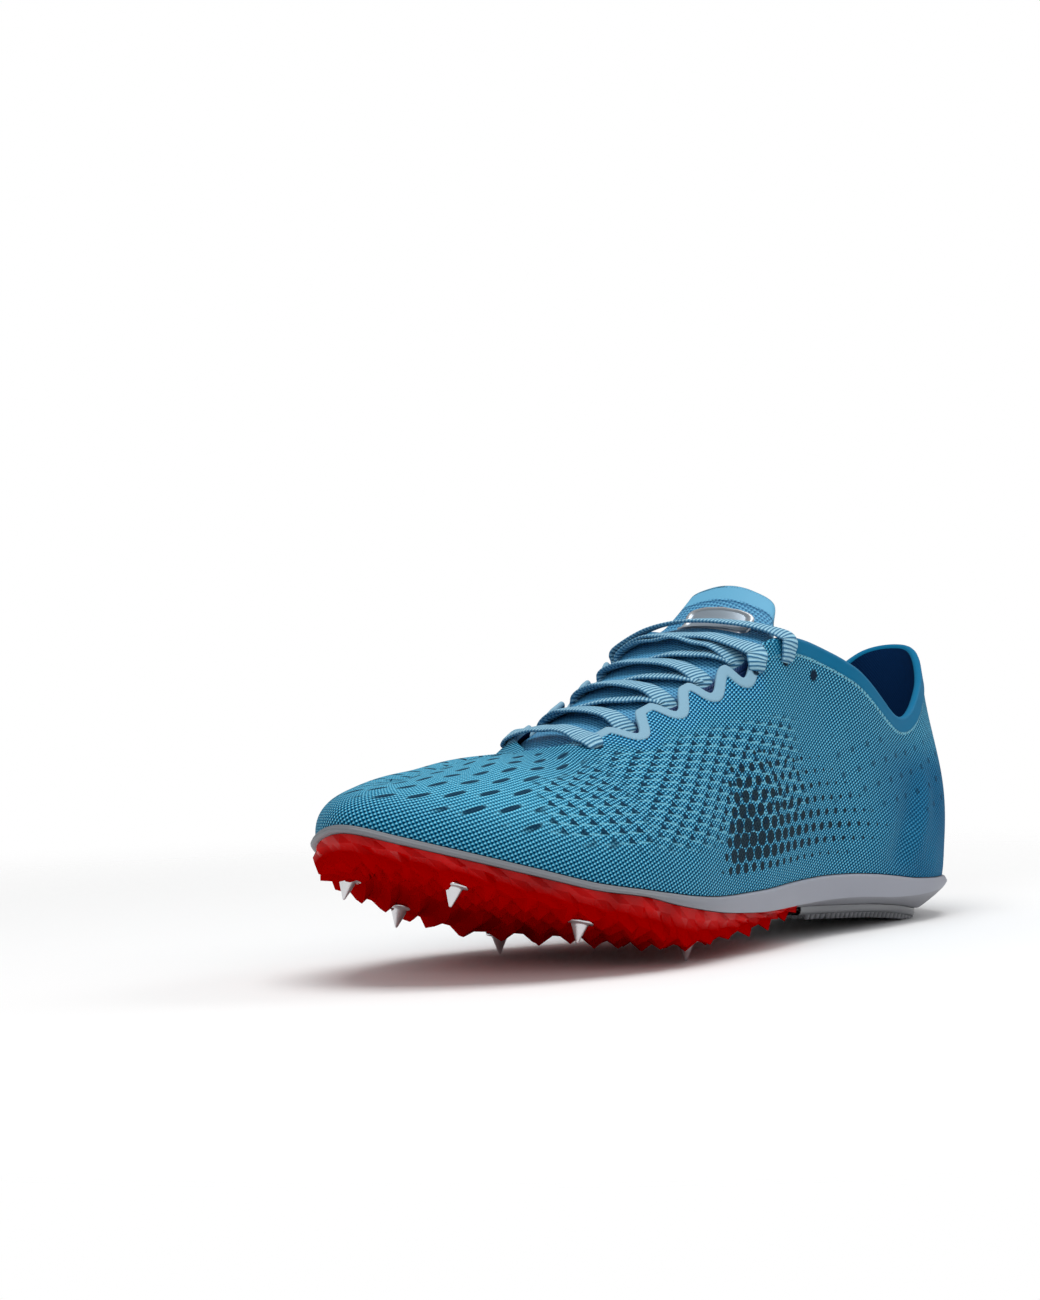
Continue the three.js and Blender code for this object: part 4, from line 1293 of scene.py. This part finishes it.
# The plate's lattice for one side: rings from the middle line out under the sole and up its side to
# the lip. Every corner moves out by an uneven amount, and every third one is the tip of a pyramid.
def plateGrid(side):
    rows = evenRows(soleLook["plateStart"] - 0.35, toeRow, 46)
    k = np.arange(len(rows))

    def lid(x):
        return bandAt(x) - 0.2

    edge = soleRing(side, rows, 2.6, lambda x: baseAt(x) * 0.88 + lid(x) * 0.12)
    under = soleRing(side, rows, 3.4, baseAt)
    middle = middleRing(rows, baseAt)
    lip = soleRing(side, rows, 1.2, lid)
    outward = flatPoints(insetPoint(side, rows, 0.0) - insetPoint(side, rows, 1.0), 0.0)
    down = np.array([0, 0, -1.0])
    rings = [middle]
    for j in range(1, 7):
        t = j / 7
        ring = middle * (1 - t) + under * t
        tip = (k + j) % 3 == 0
        push = np.where(tip, 3.6, 0.2) * (0.55 + 0.45 * scatter(k, j))
        rings.append(ring + down * push[:, None])
    for j, t, amount, reach, sideways, below in plateSides:
        ring = edge * (1 - t) + lip * t
        tip = (k + j) % 3 == 0
        push = np.where(tip, amount, amount * 0.12) * (0.5 + 0.5 * scatter(k, j))
        slide = (scatter(k, j, 3.0) - 0.5) * reach
        direction = outward * sideways + down * below
        along = unit(np.gradient(ring, axis=0))
        rings.append(ring + direction * push[:, None] + along * slide[:, None])
    rings.append(lip)
    rings.append(soleRing(side, rows, 4.0, lid))
    points = np.stack(rings, 1)
    points[:, :, 2] = np.maximum(points[:, :, 2], 2.2)
    points[0, 1:-2] = points[0, 1:-2] * 0.4 + (lip[0] * 0.6)  # the back end closes to a thin edge
    if side < 0:
        points[-1] = plateEnds["toe"]
    plateEnds["toe"] = points[-1]
    # 1 on the plate's side and 0 under it, where the material paints shade
    outside = np.broadcast_to((np.arange(points.shape[1]) > 8) * 1.0, points.shape[:2])
    return {"points": points, "attributes": {"outside": outside}, "flip": side < 0}


def plateMaterial():
    shader = Shader("plate plastic")
    where = shader.place()[0]
    patch = shader.noise(where, 70.0, 1.0)
    cloud = shader.noise(where, 260.0, 2.0)
    shade = shader.ramp(patch * 0.9 + cloud * 0.1, [
        (0.34, (0.3, 0.0, 0.0)),
        (0.48, (0.42, 0.0, 0.0)),
        (0.6, (0.52, 0.001, 0.001)),
        (0.75, (0.64, 0.008, 0.006)),
    ])
    # The underside is painted a darker red as painted shade; only the side has the coat.
    outside = shader.attribute("outside")
    shade = shader.mix(outside, (0.34, 0.0, 0.0), shade)
    coat = outside * 0.3
    return shader.set(
        basecolor=shade, roughness=0.25, specularIORlevel=0.0, coatweight=coat, coatroughness=0.12
    )


plate = joinGrids("faceted_plate", [plateGrid(1), plateGrid(-1)], smooth=False)
finish(plate, plateMaterial(), "spike_plate")


def treadMaterial():
    shader = Shader("tread rubber")
    low = 1 - shader.place()[3].step(0.0005, 0.004)
    shade = shader.mix(low * 0.6, (0.16, 0.165, 0.18), (0.42, 0.43, 0.46))
    return shader.set(basecolor=shade, roughness=0.35, coatweight=0.3)


# The heel tread: a thin strip under the heel with rows of small soft studs.
def treadGrids(side):
    rows = evenRows(0, 4.45, 80)
    inset = heelInset(rows)

    def bottom(x):
        return baseAt(x) - 3.0

    rings = [middleRing(rows, bottom), soleRing(side, rows, inset + 2.4, bottom)]
    for further, rise in ((1.4, 0.4), (1.0, 1.2), (1.0, 2.8)):
        rings.append(soleRing(side, rows, inset + further, lambda x: bottom(x) + rise))
    grids = [{"points": np.stack(rings, 1), "flip": side < 0}]
    turn = np.linspace(0, 2 * math.pi, 7)
    ring = np.stack([np.cos(turn), np.sin(turn)], -1)
    radii = np.array([1.25, 0.75, 0.0])
    places = evenRows(2.2, 4.3, 26)
    for line in (9.5, 14.0, 18.5):
        for x, y in insetPoint(side, places, np.full(places.shape, line)):
            z = float(bottom(x / last["soleLength"]))
            tall = min(1.5, z - 0.1)
            if tall < 0.4:
                continue
            heights = np.array([0.2, -tall, -tall - 0.1])
            points = np.zeros((7, 3, 3))
            points[..., :2] = np.array([x, y]) + ring[:, None] * radii[None, :, None]
            points[..., 2] = z + heights
            grids.append({"points": points, "flip": True})
    return grids


tread = joinGrids("studded_tread", [*treadGrids(1), *treadGrids(-1)])
finish(tread, treadMaterial(), "heel_tread")


def insoleMaterial():
    shader = Shader("insole cloth")
    shade = shader.mix(shader.noise(shader.place()[0], 900.0), (0.002, 0.03, 0.12), (0.004, 0.05, 0.18))
    return shader.set(basecolor=shade, roughness=0.85)


dress("insole", insoleMaterial())

# The pins: polished cones on flanges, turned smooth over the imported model's coarser ones

pinLook = {"length": 5.8, "radius": 2.7, "tip": 0.45, "flange": 4.3, "flangeThickness": 1.2}


# A turned pin: a profile of radii and heights swept round the line square to the plate at its place.
def turnedPin(name):
    x, y = pinPlaces[name]
    step = 0.01
    rise = (baseAt(x + step) - baseAt(x - step)) / (2 * step * last["soleLength"])
    up = np.array([-rise, 0, 1.0])
    up /= np.linalg.norm(up)
    point = np.array([x * last["soleLength"], y * last["ballWidth"], float(baseAt(x))])
    k = pinLook
    foot = -k["flangeThickness"] - k["length"]
    profile = [
        (0, foot), (k["tip"] * 0.7, foot), (k["tip"], foot + 0.25),
        (k["radius"] * 0.93, -k["flangeThickness"] - 0.5), (k["radius"], -k["flangeThickness"] - 0.1),
        (k["flange"] - 0.35, -k["flangeThickness"]), (k["flange"], -k["flangeThickness"] + 0.3),
        (k["flange"], -0.2), (k["flange"] - 0.3, 0.0), (0, 0.0),
    ]
    radius, height = np.array(profile, float).T
    turn = np.linspace(0, 2 * math.pi, 41)
    side = np.cross(up, [0, 1, 0])
    side /= np.linalg.norm(side)
    other = np.cross(up, side)
    ring = side * np.cos(turn)[:, None] + other * np.sin(turn)[:, None]
    points = point + ring[:, None] * radius[None, :, None] + up * height[None, :, None]
    return {"points": points}


pinPlaces = {  # shares of the sole's length and the ball's width
    "toe_inner": (0.925, -0.28),
    "toe_outer": (0.917, 0.13),
    "mid_inner": (0.812, -0.36),
    "mid_outer": (0.782, 0.3),
    "ball_inner": (0.652, -0.34),
    "ball_outer": (0.618, 0.345),
}
steel = Shader("pin steel").set(basecolor=(0.62, 0.62, 0.64), metallic=1.0, roughness=0.14)
for name in pinPlaces:
    pin = joinGrids("turned_" + name, [turnedPin(name)])
    finish(pin, steel, "pin_" + name)
print("sole ready")

# Floor and light


# A pale floor that fades away round the shoe, so that the white background runs on.
def stageFloor():
    shader = Shader("floor")
    _, x, y, _ = shader.place()
    away = ((x - 0.02) * (x - 0.02) + y * y).math("SQRT")
    corners = [[-3000, -3000, 0], [3300, -3000, 0], [3300, 3000, 0], [-3000, 3000, 0]]
    floor = meshFrom("floor", corners, [[0, 1, 2, 3]])
    floor.location.z = -0.0002
    shown = 1 - away.step(0.22, 0.55)
    floor.data.materials.append(
        shader.set(basecolor=(0.92, 0.92, 0.92), roughness=0.9, specularIORlevel=0.0, alpha=shown)
    )


def softBox(name, place, target, size, power):
    light = bpy.data.objects.new(name, bpy.data.lights.new(name, "AREA"))
    light.data.shape = "RECTANGLE"
    light.data.size, light.data.size_y = size
    light.data.energy = power
    light.location = Vector(place)
    light.rotation_euler = (Vector(target) - Vector(place)).to_track_quat("-Z", "Y").to_euler()
    scene.collection.objects.link(light)


# White to the camera, but a dimmer fill for the shoe.
def studioWorld():
    made = bpy.data.worlds.new("studio")
    made.use_nodes = True
    tree = made.node_tree
    path = tree.nodes.new("ShaderNodeLightPath")
    strength = tree.nodes.new("ShaderNodeMath")
    strength.operation = "MULTIPLY_ADD"
    tree.links.new(path.outputs["Is Camera Ray"], strength.inputs[0])
    strength.inputs[1].default_value = 1 - lights["fill"]
    strength.inputs[2].default_value = lights["fill"]
    tree.links.new(strength.outputs[0], tree.nodes["Background"].inputs[1])
    tree.nodes["Background"].inputs[0].default_value = (1, 1, 1, 1)
    scene.world = made


lights = {"fill": 0.4, "top": 10.0, "front": 3.2, "rim": 3.0}
stageFloor()
studioWorld()
softBox("top", (0.15, 0.1, 1.25), (0.0, 0.0, 0.03), (0.9, 0.7), lights["top"])
softBox("front", (1.3, 0.5, 0.75), (0.05, 0, 0.03), (0.5, 0.5), lights["front"])
softBox("rim", (-0.9, 0.5, 0.8), (0, 0, 0.05), (0.5, 0.5), lights["rim"])
scene.view_settings.view_transform = "Standard"
